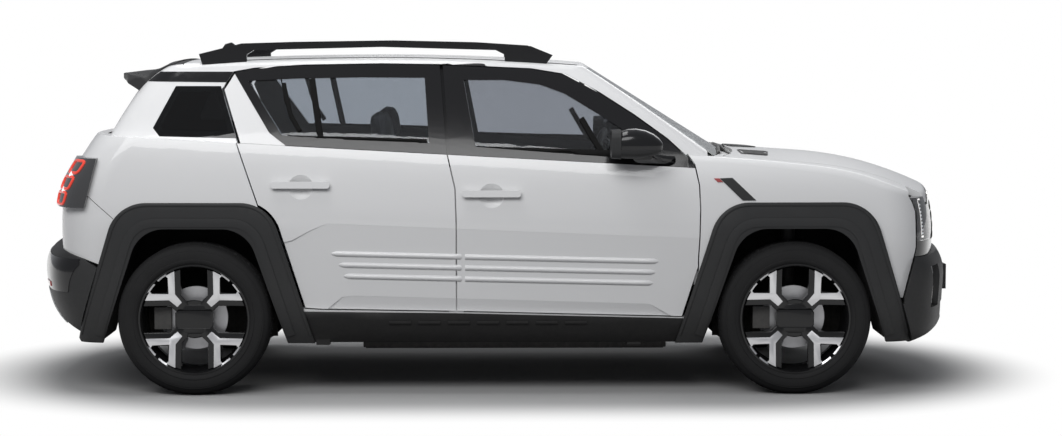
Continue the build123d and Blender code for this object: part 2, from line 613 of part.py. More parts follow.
bumper_outer = bumper_loft(0)
bumper_shell = bumper_outer - bumper_loft(-BUMPER_WALL)
front_bumper_zone = side_prism([(1784, FENDER_LOW_Z), (1832, 600), (1838, BUMPER_TOP_Z), (2200, BUMPER_TOP_Z),
                                (2200, BUMPER_LOW_Z), (1690, BUMPER_LOW_Z), (1690, 330), (1784, 400)],
                               -FAR, FAR)
front_arch_space = arch_prism(FRONT_AXLE_X, CLADDING, 300, FAR, grow=1)
front_bumper = largest((bumper_shell & front_bumper_zone) - front_arch_space - mirrored(front_arch_space))
# Upright air slots at the corners and a low intake between them.
SLOT_DEPTH = 26.0
SLOT_Y = (640.0, 775.0)
SLOT_Z = (372.0, 556.0)
INTAKE_Z = (290.0, 372.0)
INTAKE_HALF = 520.0
slot_layer = bumper_loft(5) - bumper_loft(-SLOT_DEPTH)
slot = block(1860, 2200, *SLOT_Y, *SLOT_Z)
intake = block(1900, 2200, -INTAKE_HALF, INTAKE_HALF, *INTAKE_Z)
front_bumper = largest(front_bumper - (slot_layer & (slot + mirrored(slot) + intake)))
front_plate = block(FRONT_PLATE_X - 40, FRONT_PLATE_X, -PLATE_HALF, PLATE_HALF, FRONT_PLATE_Z,
                    FRONT_PLATE_Z + PLATE_HIGH)
save("front_bumper", largest(front_bumper + front_plate))

rear_bumper_wall = outer - body_loft(BODY_GROW - BUMPER_WALL)
rear_arch_space = arch_prism(REAR_AXLE_X, CLADDING, 300, FAR, grow=1)
REAR_SPLIT_Z = 628.0
rear_upper_zone = side_prism([(-2200, 902), (-1777, 870), (-1668, 774), (-1640, 738), (-1640, 540),
                              (-1800, 600), (-1900, REAR_SPLIT_Z), (-2200, REAR_SPLIT_Z)], -FAR, FAR)
rear_bumper = rear_bumper_wall & rear_upper_zone
rear_bumper = rear_bumper - tail_prism(SHUT_GAP) - lamp_zone - mirrored(lamp_zone)
rear_bumper = largest(rear_bumper - rear_arch_space - mirrored(rear_arch_space))
save("rear_bumper", rear_bumper)
rear_lower_zone = side_prism([(-1680, BUMPER_LOW_Z + 60), (-1680, 524), (-1800, 599), (-1900, REAR_SPLIT_Z - 1),
                              (-2200, REAR_SPLIT_Z - 1), (-2200, BUMPER_LOW_Z + 60)], -FAR, FAR)
rear_lower = (bumper_shell & rear_lower_zone) - rear_arch_space - mirrored(rear_arch_space)
save("rear_bumper_lower", largest(rear_lower))

tail_lamp = (body_loft(BODY_GROW + 22) - body_loft(BODY_GROW - NOSE_WALL)) & grown_prism(
    LAMP, -0.5, LAMP_INNER_Y + 1, FAR)
tail_lamp = largest(tail_lamp - tail_prism(SHUT_GAP))
save("tail_lamps", [tail_lamp, mirrored(tail_lamp)])

# ---- black cladding, liners, rails ---------------------------------------------------------------------
clad_layer = body_loft(BODY_GROW + CLADDING_PROUD) - body_loft(BODY_GROW)
low_cut = block(-2500, 2500, 300, FAR, CLADDING_Z, 1200)


def arch_trim(x):
    ring = arch_prism(x, CLADDING, 300, FAR, grow=0) - arch_prism(x, OPENING, 200, FAR + 100)
    return ring & low_cut & block(-2500, 2500, 760, FAR, 100, 1200)


front_trim = largest(clad_layer & arch_trim(FRONT_AXLE_X))
rear_trim = largest(clad_layer & arch_trim(REAR_AXLE_X))
save("wheel_arch_trims", [front_trim, rear_trim, mirrored(front_trim), mirrored(rear_trim)])
SILL_WALL = 60.0
SILL_REACH = 8.0
sill_rear = REAR_AXLE_X + OPENING[0] + 8
sill_front = FRONT_AXLE_X - OPENING[0] - 8
sill_zone = side_prism([(sill_rear, SILL_Z - 6), (sill_front, SILL_Z - 6), (sill_front, 330), (sill_front - 50, 341),
                        (DOOR_SPLIT_X, DOOR_BOTTOM_Z - SHUT_GAP), (sill_rear + 60, 368), (sill_rear, 368)], 600, FAR)
sill = body_loft(BODY_GROW + SILL_REACH) - body_loft(BODY_GROW - SILL_WALL)
sill = sill & sill_zone
door_low = grown_prism(front_outline, SHUT_GAP, 300, FAR) + grown_prism(rear_outline, SHUT_GAP, 300, FAR)
sill = sill - body_side - door_low - front_trim - rear_trim - fender
sill = largest(sill - liner_room - arch_prism(FRONT_AXLE_X, OPENING, 200, FAR + 100, grow=1)
               - arch_prism(REAR_AXLE_X, OPENING, 200, FAR + 100, grow=1))
JACK_X = (-760.0, 600.0)
JACK_HALF = 30.0
JACK_Y = 800.0
JACK_Z = 218.0
for x in JACK_X:
    sill = sill + block(x - JACK_HALF, x + JACK_HALF, JACK_Y - JACK_HALF, JACK_Y + JACK_HALF, JACK_Z, SILL_Z + 6)
save("sill_trims", [largest(sill), mirrored(largest(sill))])


LINER_WALL_Z = 392.0       # lower edge of the liner's inner wall, above the axle


def arch_liner(x):
    ring = arch_prism(x, LINER, LINER_INNER_Y - LINER_SHEET, LINER_OUTER_Y, grow=LINER_SHEET)
    ring = ring - arch_prism(x, LINER, LINER_INNER_Y, LINER_OUTER_Y + 10)
    ring = ring - block(x - 1000, x + 1000, LINER_INNER_Y - 10, LINER_INNER_Y + 0.01, 0, LINER_WALL_Z)
    return largest(ring & block(-2500, 2500, 300, FAR, SILL_Z + 8, 1200))


front_liner = arch_liner(FRONT_AXLE_X)
rear_liner = arch_liner(REAR_AXLE_X)
save("wheel_arch_liners", [front_liner, rear_liner, mirrored(front_liner), mirrored(rear_liner)])

RAIL_Y = 560.0
RAIL_WIDTH = 30.0
rail_top = [(-1322, 1487), (-1132, 1534), (-900, 1541), (-510, 1547), (-100, 1538), (152, 1522), (250, 1482)]
rail_base = [(219, 1440), (36, 1440), (36, 1484), (-4, 1504), (-510, 1518), (-1078, 1504), (-1110, 1484),
             (-1110, 1440), (-1307, 1440)]
rail = side_prism(rail_top + rail_base, RAIL_Y - RAIL_WIDTH / 2, RAIL_Y + RAIL_WIDTH / 2)
rail = largest(rail - outer)
save("roof_rails", [rail, mirrored(rail)])

FIN = [(-1300, 1440), (-1297, 1488), (-1268, 1530), (-1240, 1538), (-1215, 1520), (-1180, 1480), (-1130, 1440)]
fin = side_prism(FIN, -20, 20) - outer
save("roof_antenna", largest(fin))

# ---- spoiler -------------------------------------------------------------------------------------------
SPOILER_HALF = TAIL_HALF - 0.5
SPOILER_SIDE_X = -1640.0
SPOILER_REAR_X = -1722.0
spoiler_profile = [(-1430, 1500), (-1430, 1352), (-1570, 1348), (-1690, 1377), (-1722, 1388), (-1722, 1394),
                   (-1590, 1415), (-1505, 1424), (-1468, 1442)]
spoiler = side_prism(spoiler_profile, -SPOILER_HALF, SPOILER_HALF)
spoiler_plan = Wire([
    Edge.make_line(Vector(-1430, SPOILER_HALF, 0), Vector(-1430, -SPOILER_HALF, 0)),
    Edge.make_line(Vector(-1430, -SPOILER_HALF, 0), Vector(SPOILER_SIDE_X, -SPOILER_HALF, 0)),
    Edge.make_three_point_arc(Vector(SPOILER_SIDE_X, -SPOILER_HALF, 0), Vector(SPOILER_REAR_X, 0, 0),
                              Vector(SPOILER_SIDE_X, SPOILER_HALF, 0)),
    Edge.make_line(Vector(SPOILER_SIDE_X, SPOILER_HALF, 0), Vector(-1430, SPOILER_HALF, 0))])
spoiler = spoiler & Solid.extrude(Face(spoiler_plan).moved(Location((0, 0, 1300))), Vector(0, 0, 300))
save("spoiler", largest(spoiler - outer))

# ---- mirrors --------------------------------------------------------------------------------------------
shell_mirror = Pos(604, 938, 1106) * Box(222, 150, 128)
shell_mirror = fillet(shell_mirror.edges(), 40)
stalk = side_prism([(640, belt(640) + 6), (790, belt(790) + 6), (740, 1062), (640, 1062)], 790, 880)
mirror_arm = stalk - outer
mirror_part = largest(joined([shell_mirror, block(600, 700, 840, 900, 1050, 1070), mirror_arm]) - outer)
save("side_mirror_left", mirror_part)
save("side_mirror_right", mirrored(mirror_part))

# ---- floor, battery and drive --------------------------------------------------------------------------
HEEL_X = -640.0
BULKHEAD_TOP_Z = 960.0
SEAT_FLOOR_Z = 400.0
LOAD_X = -1150.0
LOAD_Z = 520.0
LOAD_HALF = 480.0
TAIL_INSIDE_X = -1880.0
FLOOR_NOTCH_X = 868.0
REAR_FLOOR_X = -910.0
floor = block(HEEL_X, FLOOR_NOTCH_X, -FLOOR_HALF, FLOOR_HALF, FLOOR_Z - FLOOR_SHEET, FLOOR_Z)
toe = block(FLOOR_NOTCH_X, BULKHEAD_X, -LOAD_HALF, LOAD_HALF, FLOOR_Z - FLOOR_SHEET, FLOOR_Z)
bulkhead = block(BULKHEAD_X - BULKHEAD_SHEET, BULKHEAD_X, -FLOOR_HALF, FLOOR_HALF, FLOOR_Z, BULKHEAD_TOP_Z)
seat_floor = block(REAR_FLOOR_X, HEEL_X, -FLOOR_HALF, FLOOR_HALF, SEAT_FLOOR_Z - FLOOR_SHEET, SEAT_FLOOR_Z)
heel = block(HEEL_X, HEEL_X + FLOOR_SHEET, -FLOOR_HALF, FLOOR_HALF, FLOOR_Z - FLOOR_SHEET, SEAT_FLOOR_Z)
back_floor = block(LOAD_X, REAR_FLOOR_X, -LOAD_HALF, LOAD_HALF, SEAT_FLOOR_Z - FLOOR_SHEET, SEAT_FLOOR_Z)
load_step = block(LOAD_X - FLOOR_SHEET, LOAD_X, -LOAD_HALF, LOAD_HALF, SEAT_FLOOR_Z - FLOOR_SHEET, LOAD_Z)
load = block(TAIL_INSIDE_X, LOAD_X, -LOAD_HALF, LOAD_HALF, LOAD_Z - FLOOR_SHEET, LOAD_Z)
save("floor_pan", largest(joined([floor, toe, bulkhead, seat_floor, heel, back_floor, load_step, load])))
BATTERY = block(-600, 760, -560, 560, BATTERY_Z, FLOOR_Z - FLOOR_SHEET)
save("battery_pack", BATTERY)
save("drive_motor", block(1080, 1640, -380, 380, 379 + SEAT, 760))

COWL_TOP_Z = 998.0
COWL_SHEET = 18.0
COWL_HALF = 690.0
COWL_FRONT_X = 1120.0
HINGE_X = (1012.0, 1044.0)
cowl = block(BULKHEAD_X - BULKHEAD_SHEET, COWL_FRONT_X, -COWL_HALF, COWL_HALF, COWL_TOP_Z - COWL_SHEET, COWL_TOP_Z)
cowl = cowl + block(BULKHEAD_X - BULKHEAD_SHEET, BULKHEAD_X, -COWL_HALF, COWL_HALF, BULKHEAD_TOP_Z + SEAT,
                    COWL_TOP_Z)
under_hood_face = hood_height(sum(HINGE_X) / 2, 655) - PANEL
for y in (-670, 640):
    cowl = cowl + block(*HINGE_X, y, y + 30, COWL_TOP_Z - COWL_SHEET, under_hood_face + 20)
cowl = cowl - space_above(hood_height, 600, 2160, drop=PANEL + PIN_CLEAR)
screen_seat = (cabin_loft(BODY_GROW - GLASS - 1) - cabin_loft(BODY_GROW - CABIN_WALL)) & front_prism(
    [(-COWL_HALF, 940), (COWL_HALF, 940), (COWL_HALF, 1030), (-COWL_HALF, 1030)], 880, 1400)
cowl = cowl + (screen_seat - space_above(hood_height, 600, 2160, drop=PANEL + PIN_CLEAR))
save("cowl_panel", largest(cowl))

# ---- suspension -----------------------------------------------------------------------------------------
HUB_Y = TRACK / 2
KINGPIN_Y = HUB_Y - KINGPIN_OFFSET
ARM_TOP_Z = 234.0
BRAKE_RADIUS = 138.0
DISC_SHEET = 24.0
DISC_CLEAR = 5.5
HUB_INSIDE = 30.0          # from the wheel's middle plane inboard to its hub's inner face
DISC_INSIDE = 24.0
BEARING_GAP = 0.5
subframe = joined([
    block(FRONT_AXLE_X - 160, FRONT_AXLE_X + 130, -360, 360, 262, 310),
    block(FRONT_AXLE_X - 40, FRONT_AXLE_X + 40, -360, 360, 262, 379),
    block(BULKHEAD_X, FRONT_AXLE_X - 150, -330, -250, 262, 310),
    block(BULKHEAD_X, FRONT_AXLE_X - 150, 250, 330, 262, 310)])
STRUT_TOP_Z = TYRE_RADIUS + LINER[2] - 1
STRUT_LOW_Z = 240.0
for side in (1, -1):
    arm = plan_prism([(FRONT_AXLE_X - 150, side * 350), (FRONT_AXLE_X + 60, side * 350),
                      (FRONT_AXLE_X + 26, side * (KINGPIN_Y + 14)),
                      (FRONT_AXLE_X - 26, side * (KINGPIN_Y + 14))], 212, ARM_TOP_Z)
    riser = block(FRONT_AXLE_X - 140, FRONT_AXLE_X + 50, min(side * 340, side * 360),
                  max(side * 340, side * 360), 212, 300)
    strut = Pos(FRONT_AXLE_X, side * 560, (STRUT_TOP_Z + STRUT_LOW_Z) / 2) * Cylinder(
        32, STRUT_TOP_Z - STRUT_LOW_Z)
    foot = block(FRONT_AXLE_X - 24, FRONT_AXLE_X + 24, min(side * 530, side * 590),
                 max(side * 530, side * 590), 212, 300)
    subframe = joined([subframe, arm, riser, foot, strut])
save("front_subframe", largest(subframe))


def across(side, near, far):
    """The y range of a piece that reaches from near to far on one side of the car."""
    return (side * near, side * far) if side > 0 else (side * far, side * near)


HUB_INNER_Y = HUB_Y - HUB_INSIDE
DISC_Y = HUB_Y - DISC_INSIDE
CARRIER_Y = HUB_INNER_Y - BEARING_GAP


def caliper(x, side):
    """A floating caliper behind the wheel centre, open round the brake disc."""
    inner = block(x - 165, x - 100, *across(side, DISC_Y - 44, DISC_Y - DISC_CLEAR), 286, 382)
    bridge = block(x - 180, x - BRAKE_RADIUS - DISC_CLEAR, *across(side, DISC_Y - 44, DISC_Y + DISC_SHEET + 26),
                   286, 382)
    outer_half = block(x - 180, x - 106, *across(side, DISC_Y + DISC_SHEET + DISC_CLEAR,
                                                 DISC_Y + DISC_SHEET + 26), 286, 382)
    return joined([inner, bridge, outer_half])


def carrier(x, side):
    """The plate that carries the wheel bearing, with the arm that holds the caliper."""
    flange = Pos(x, side * (CARRIER_Y - 12), TYRE_RADIUS) * Rot(90, 0, 0) * Cylinder(58, 24)
    arm = block(x - 120, x, *across(side, DISC_Y - 44, DISC_Y - 26), 306, 362)
    return joined([flange, arm, caliper(x, side)])


def knuckle(side):
    boss = Pos(FRONT_AXLE_X, side * KINGPIN_Y, TYRE_RADIUS) * Cylinder(20, 2 * (TYRE_RADIUS - ARM_TOP_Z - PIN_CLEAR))
    web = block(FRONT_AXLE_X - 30, FRONT_AXLE_X + 30, *across(side, KINGPIN_Y - 18, CARRIER_Y - 6), 290, 378)
    return joined([boss, web, carrier(FRONT_AXLE_X, side)])


save("front_knuckle_left", knuckle(1))
save("front_knuckle_right", knuckle(-1))

ARM_Y = 430.0
ARM_WIDTH = 50.0
beam = joined([
    block(REAR_AXLE_X + 250, REAR_AXLE_X + 330, -ARM_Y, ARM_Y, 296, 364)])
for side in (1, -1):
    arm = block(REAR_AXLE_X - 70, REAR_AXLE_X + 440, *across(side, ARM_Y, ARM_Y + ARM_WIDTH), 300, 360)
    bush = Pos(REAR_AXLE_X + 420, side * (ARM_Y + ARM_WIDTH / 2), 335) * Rot(90, 0, 0) * Cylinder(34, ARM_WIDTH)
    spindle = Pos(REAR_AXLE_X, side * (ARM_Y + CARRIER_Y) / 2, TYRE_RADIUS) * Rot(90, 0, 0) * Cylinder(
        34, CARRIER_Y - ARM_Y - 10)
    damper = Pos(REAR_AXLE_X - 30, side * (ARM_Y + ARM_WIDTH / 2), (LOAD_Z - FLOOR_SHEET + 340) / 2) * Cylinder(
        24, LOAD_Z - FLOOR_SHEET - 340 - 0.3)
    beam = joined([beam, arm, bush, spindle, damper, carrier(REAR_AXLE_X, side)])
save("rear_axle", largest(beam))

# ---- wheels ----------------------------------------------------------------------------------------------
RIM_FACE = RIM_WIDTH / 2
HUB_FACE = 66.0
SPOKE_DEPTH = 26.0
ARM_WIDE = 44.0                # each diagonal arm
LEG_NEAR = 82.0                # each leg runs between these distances from the wheel's middle lines
LEG_FAR = 114.0
SPOKE_REACH = 226.0


def revolved(outline):
    """A profile of (radius, across) points turned round the wheel axis, which lies along Y."""
    face = Face(Wire.make_polygon([Vector(r, a, 0) for r, a in outline]))
    return Solid.revolve(face, 360, Axis.Y)


def rim():
    half = RIM_WIDTH / 2
    profile = [(RIM_RADIUS, half), (RIM_RADIUS - 4, half), (RIM_RADIUS - 14, half - 12),
               (RIM_RADIUS - 18, half - 20), (RIM_RADIUS - 24, 0), (RIM_RADIUS - 24, -half + 20),
               (RIM_RADIUS - 6, -half), (RIM_RADIUS, -half), (RIM_RADIUS, -half + 6),
               (RIM_RADIUS - 12, -half + 12), (RIM_RADIUS - 16, -half + 22), (RIM_RADIUS - 17, 0),
               (RIM_RADIUS - 11, half - 18), (RIM_RADIUS, half - 7)]
    return revolved(profile)


def spokes():
    """Four diagonal arms, each dividing into two legs that run to the rim at right angles."""
    across_mid = HUB_FACE - SPOKE_DEPTH / 2
    leg_mid = (LEG_NEAR + LEG_FAR) / 2
    leg_wide = LEG_FAR - LEG_NEAR
    leg_long = SPOKE_REACH - LEG_NEAR
    arm_long = leg_mid * 2 ** 0.5
    parts = []
    for quarter in range(4):
        diagonal = Pos(0, across_mid, 0) * Rot(0, 45 + 90 * quarter, 0)
        square = Pos(0, across_mid, 0) * Rot(0, 90 * quarter, 0)
        parts.append(diagonal * Pos(arm_long / 2, 0, 0) * Box(arm_long, SPOKE_DEPTH, ARM_WIDE))
        parts.append(square * Pos(LEG_NEAR + leg_long / 2, 0, leg_mid) * Box(leg_long, SPOKE_DEPTH, leg_wide))
        parts.append(square * Pos(leg_mid, 0, LEG_NEAR + leg_long / 2) * Box(leg_wide, SPOKE_DEPTH, leg_long))
    return parts


def wheel():
    """One alloy wheel with its hub and brake disc, outer face towards +Y, centred on its tyre."""
    ring = rim()
    hub = revolved([(0, -HUB_INSIDE), (64, -HUB_INSIDE), (64, HUB_FACE), (0, HUB_FACE)])
    disc = revolved([(50, -DISC_INSIDE), (BRAKE_RADIUS, -DISC_INSIDE), (BRAKE_RADIUS, DISC_SHEET - DISC_INSIDE),
                     (50, DISC_SHEET - DISC_INSIDE)])
    inside_ring = revolved([(0, -100), (RIM_RADIUS - 14, -100), (RIM_RADIUS - 14, 100), (0, 100)])
    body = joined([hub, disc] + spokes()) & inside_ring
    return largest(ring + body)


def tyre():
    """One tyre with rounded shoulders that seats on the rim."""
    half = TYRE_WIDTH / 2
    profile = Wire([
        Edge.make_line(Vector(RIM_RADIUS + 0.2, -half + 18, 0), Vector(RIM_RADIUS + 0.2, half - 18, 0)),
        Edge.make_three_point_arc(Vector(RIM_RADIUS + 0.2, half - 18, 0),
                                  Vector(RIM_RADIUS + 42, half, 0), Vector(TYRE_RADIUS - 14, half - 14, 0)),
        Edge.make_three_point_arc(Vector(TYRE_RADIUS - 14, half - 14, 0),
                                  Vector(TYRE_RADIUS - 6, half - 22, 0), Vector(TYRE_RADIUS, half - 40, 0)),
        Edge.make_line(Vector(TYRE_RADIUS, half - 40, 0), Vector(TYRE_RADIUS, -half + 40, 0)),
        Edge.make_three_point_arc(Vector(TYRE_RADIUS, -half + 40, 0),
                                  Vector(TYRE_RADIUS - 6, -half + 22, 0),
                                  Vector(TYRE_RADIUS - 14, -half + 14, 0)),
        Edge.make_three_point_arc(Vector(TYRE_RADIUS - 14, -half + 14, 0),
                                  Vector(RIM_RADIUS + 42, -half, 0),
                                  Vector(RIM_RADIUS + 0.2, -half + 18, 0))])
    return Solid.revolve(Face(profile), 360, Axis.Y)


alloy = wheel()
rubber = tyre()
for name, x, side in (("front_left", FRONT_AXLE_X, 1), ("front_right", FRONT_AXLE_X, -1),
                      ("rear_left", REAR_AXLE_X, 1), ("rear_right", REAR_AXLE_X, -1)):
    place = Pos(x, side * HUB_Y, TYRE_RADIUS)
    turn = Rot(0, 0, 0) if side > 0 else Rot(0, 0, 180)
    save("wheel_" + name, place * turn * alloy)
    save("tyre_" + name, place * turn * rubber)

# ---- interior --------------------------------------------------------------------------------------------
SEAT_Y = 370.0
SEAT_HALF = 250.0


def front_seat(y):
    cushion = fillet((Pos(-100, y, 500) * Box(500, 2 * SEAT_HALF, 130)).edges(), 40)
    base = block(-300, 80, y - 200, y + 200, FLOOR_Z, 440)
    back = Pos(-400, y, 800) * Rot(0, -18, 0) * Box(110, 2 * SEAT_HALF - 20, 600)
    back = fillet(back.edges(), 40)
    head = fillet((Pos(-520, y, 1150) * Rot(0, -10, 0) * Box(90, 250, 150)).edges(), 35)
    neck = Pos(-500, y, 1080) * Rot(0, -15, 0) * Cylinder(40, 110)
    return largest(joined([cushion, base, back, neck, head]))


save("front_seats", [front_seat(SEAT_Y), front_seat(-SEAT_Y)])
BENCH_X = -740.0
bench = joined([block(-900, -650, -600, 600, SEAT_FLOOR_Z, 450),
                fillet((Pos(BENCH_X, 0, 500) * Box(350, 1240, 140)).edges(), 40),
                block(-1030, -880, -470, 470, 430, 540),
                Pos(-1040, 0, 660) * Rot(0, -14, 0) * Box(110, 940, 400),
                fillet((Pos(-1100, 0, 900) * Rot(0, -14, 0) * Box(110, 1180, 290)).edges(), 40)])
save("rear_bench", largest(bench))
DASH = [(BULKHEAD_X - BULKHEAD_SHEET, 700), (BULKHEAD_X - BULKHEAD_SHEET, 985), (760, 1010), (640, 1000),
        (560, 960), (560, 860), (640, 720)]
dash = side_prism(DASH, -690, 690)
save("dashboard", dash)
COLUMN_TILT = 115.0
HAND_WHEEL = Pos(450, SEAT_Y, 950) * Rot(0, COLUMN_TILT, 0)
steer = HAND_WHEEL * Torus(175, 16)
steer_hub = HAND_WHEEL * Cylinder(60, 36)
steer_bar = HAND_WHEEL * Box(30, 340, 22)
column = HAND_WHEEL * Pos(0, 0, 90) * Cylinder(35, 180) - dash
save("steering_wheel", largest(joined([steer, steer_hub, steer_bar, column])))
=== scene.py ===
# %% [markdown]
# # A compact electric crossover
# The solid model comes in as a frame: every panel, wheel and glass already has its real size and place.
# What follows dresses it: a camera and light, finishes made from nodes, and the small pieces that a solid
# model leaves plain, such as tyre treads, window surrounds, lamps, handles, wipers and padded seats.

# %% The frame before anything is added
import bmesh
import bpy
import json
import math
from mathutils import Matrix, Vector
from mathutils.bvhtree import BVHTree


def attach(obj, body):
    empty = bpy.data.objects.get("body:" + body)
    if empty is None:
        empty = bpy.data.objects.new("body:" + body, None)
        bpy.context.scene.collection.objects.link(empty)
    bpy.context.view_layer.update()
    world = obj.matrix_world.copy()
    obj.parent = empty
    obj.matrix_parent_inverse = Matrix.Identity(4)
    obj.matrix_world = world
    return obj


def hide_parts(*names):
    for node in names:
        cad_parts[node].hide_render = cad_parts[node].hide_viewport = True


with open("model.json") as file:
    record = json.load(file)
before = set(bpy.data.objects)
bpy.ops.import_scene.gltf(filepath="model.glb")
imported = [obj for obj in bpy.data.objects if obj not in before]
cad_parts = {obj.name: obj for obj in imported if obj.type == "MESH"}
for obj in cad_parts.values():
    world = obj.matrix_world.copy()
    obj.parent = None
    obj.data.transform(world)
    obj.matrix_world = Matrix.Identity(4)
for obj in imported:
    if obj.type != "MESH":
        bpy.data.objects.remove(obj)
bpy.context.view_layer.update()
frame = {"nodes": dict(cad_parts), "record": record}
nodes = frame["nodes"]

# %% [markdown]
# ## Camera
# The car is seen square from its right side, from eye height and about ten metres away, so the near side
# looks a little larger than the far side. A long lens does that. The camera leans down slightly instead of
# shifting its lens, so it can be moved round the car for other views.

# %% The camera
NEAR_WHEEL_Y = -0.865
CAMERA_AT = Vector((0.0, NEAR_WHEEL_Y - 10.3, 1.554))
CAMERA_TO = Vector((0.149, NEAR_WHEEL_Y, 0.777))
camera_data = bpy.data.cameras.new("camera")
camera_data.lens = 80.5
camera_data.sensor_width = 36.0
camera = bpy.data.objects.new("camera", camera_data)
bpy.context.scene.collection.objects.link(camera)
camera.location = CAMERA_AT
camera.rotation_euler = (CAMERA_TO - CAMERA_AT).to_track_quat("-Z", "Y").to_euler()
bpy.context.scene.camera = camera
print("camera", tuple(round(v, 3) for v in camera.location))

# %% [markdown]
# ## Light
# A white car in a white studio needs broad, soft light from above, so that the upper surfaces are bright
# and the flanks fall away to grey. One soft lamp hangs overhead, the strongest stands well away on the
# camera's side and the weakest behind the car. The pale surroundings fill the shadows.

# %% World and lamps
scene = bpy.context.scene
scene.view_settings.view_transform = "Standard"
world = bpy.data.worlds.new("studio")
scene.world = world
world.use_nodes = True
wt = world.node_tree
wt.nodes.clear()
fill = wt.nodes.new("ShaderNodeBackground")
fill.inputs["Color"].default_value = (0.93, 0.95, 1.0, 1)
fill.inputs["Strength"].default_value = 0.33
shown = wt.nodes.new("ShaderNodeBackground")
shown.inputs["Color"].default_value = (1, 1, 1, 1)
shown.inputs["Strength"].default_value = 1.0
path_info = wt.nodes.new("ShaderNodeLightPath")
seen = wt.nodes.new("ShaderNodeMath")
seen.operation = "MAXIMUM"
mix = wt.nodes.new("ShaderNodeMixShader")
out = wt.nodes.new("ShaderNodeOutputWorld")
wt.links.new(path_info.outputs["Is Camera Ray"], seen.inputs[0])
wt.links.new(path_info.outputs["Is Transmission Ray"], seen.inputs[1])
wt.links.new(seen.outputs[0], mix.inputs[0])
wt.links.new(fill.outputs[0], mix.inputs[1])
wt.links.new(shown.outputs[0], mix.inputs[2])
wt.links.new(mix.outputs[0], out.inputs["Surface"])


def lamp(name, at, to, size, power):
    """A square soft lamp at one point, facing another."""
    data = bpy.data.lights.new(name, "AREA")
    data.shape = "RECTANGLE"
    data.size, data.size_y = size
    data.energy = power
    light = bpy.data.objects.new(name, data)
    scene.collection.objects.link(light)
    light.location = at
    light.rotation_euler = (Vector(to) - Vector(at)).to_track_quat("-Z", "Y").to_euler()
    return light


lamp("overhead", (-1.4, 0.0, 6.5), (0, 0, 0.3), (5.0, 3.0), 215)
lamp("side", (-2.0, -7.6, 6.0), (0, 0, 0.9), (8.0, 3.6), 480)
lamp("back", (2.0, 8.0, 4.8), (0, 0, 0.9), (7.0, 3.0), 130)

# %% [markdown]
# ## Shared effects
# Paint, moulded plastic, rubber and cloth share a few effects: a fine grain, a slow change of tone over a
# large panel, and a little dust low down. Each effect is one node group, used again with other numbers.

# %% Node groups for grain, tone and road dust
def group_start(name, inputs, outputs):
    """A new shader node group with float inputs and the given outputs, and its two end nodes."""
    tree = bpy.data.node_groups.new(name, "ShaderNodeTree")
    for label, value in inputs:
        socket = tree.interface.new_socket(name=label, in_out="INPUT", socket_type="NodeSocketFloat")
        socket.default_value = value
    for label, kind in outputs:
        tree.interface.new_socket(name=label, in_out="OUTPUT", socket_type=kind)
    return tree, tree.nodes.new("NodeGroupInput"), tree.nodes.new("NodeGroupOutput")


def build_grain():
    """Small pebbled height, in object space: Scale is pebbles a metre."""
    tree, start, end = group_start("grain", [("Scale", 900.0), ("Mix", 0.5)], [("Height", "NodeSocketFloat")])
    where = tree.nodes.new("ShaderNodeTexCoord")
    cells = tree.nodes.new("ShaderNodeTexVoronoi")
    cells.feature = "SMOOTH_F1"
    noise = tree.nodes.new("ShaderNodeTexNoise")
    noise.inputs["Detail"].default_value = 3.0
    blend = tree.nodes.new("ShaderNodeMix")
    for texture in (cells, noise):
        tree.links.new(where.outputs["Object"], texture.inputs["Vector"])
        tree.links.new(start.outputs["Scale"], texture.inputs["Scale"])
    tree.links.new(start.outputs["Mix"], blend.inputs["Factor"])
    tree.links.new(cells.outputs["Distance"], blend.inputs["A"])
    tree.links.new(noise.outputs["Fac"], blend.inputs["B"])
    tree.links.new(blend.outputs["Result"], end.inputs["Height"])
    return tree


def build_tone():
    """A slow wander of tone between 1 - Depth and 1 over large panels."""
    tree, start, end = group_start("tone", [("Scale", 1.4), ("Depth", 0.04)], [("Value", "NodeSocketFloat")])
    where = tree.nodes.new("ShaderNodeTexCoord")
    noise = tree.nodes.new("ShaderNodeTexNoise")
    noise.inputs["Detail"].default_value = 4.0
    scaled = tree.nodes.new("ShaderNodeMath")
    scaled.operation = "MULTIPLY"
    left = tree.nodes.new("ShaderNodeMath")
    left.operation = "SUBTRACT"
    left.inputs[0].default_value = 1.0
    tree.links.new(where.outputs["Object"], noise.inputs["Vector"])
    tree.links.new(start.outputs["Scale"], noise.inputs["Scale"])
    tree.links.new(noise.outputs["Fac"], scaled.inputs[0])
    tree.links.new(start.outputs["Depth"], scaled.inputs[1])
    tree.links.new(scaled.outputs[0], left.inputs[1])
    tree.links.new(left.outputs[0], end.inputs["Value"])
    return tree


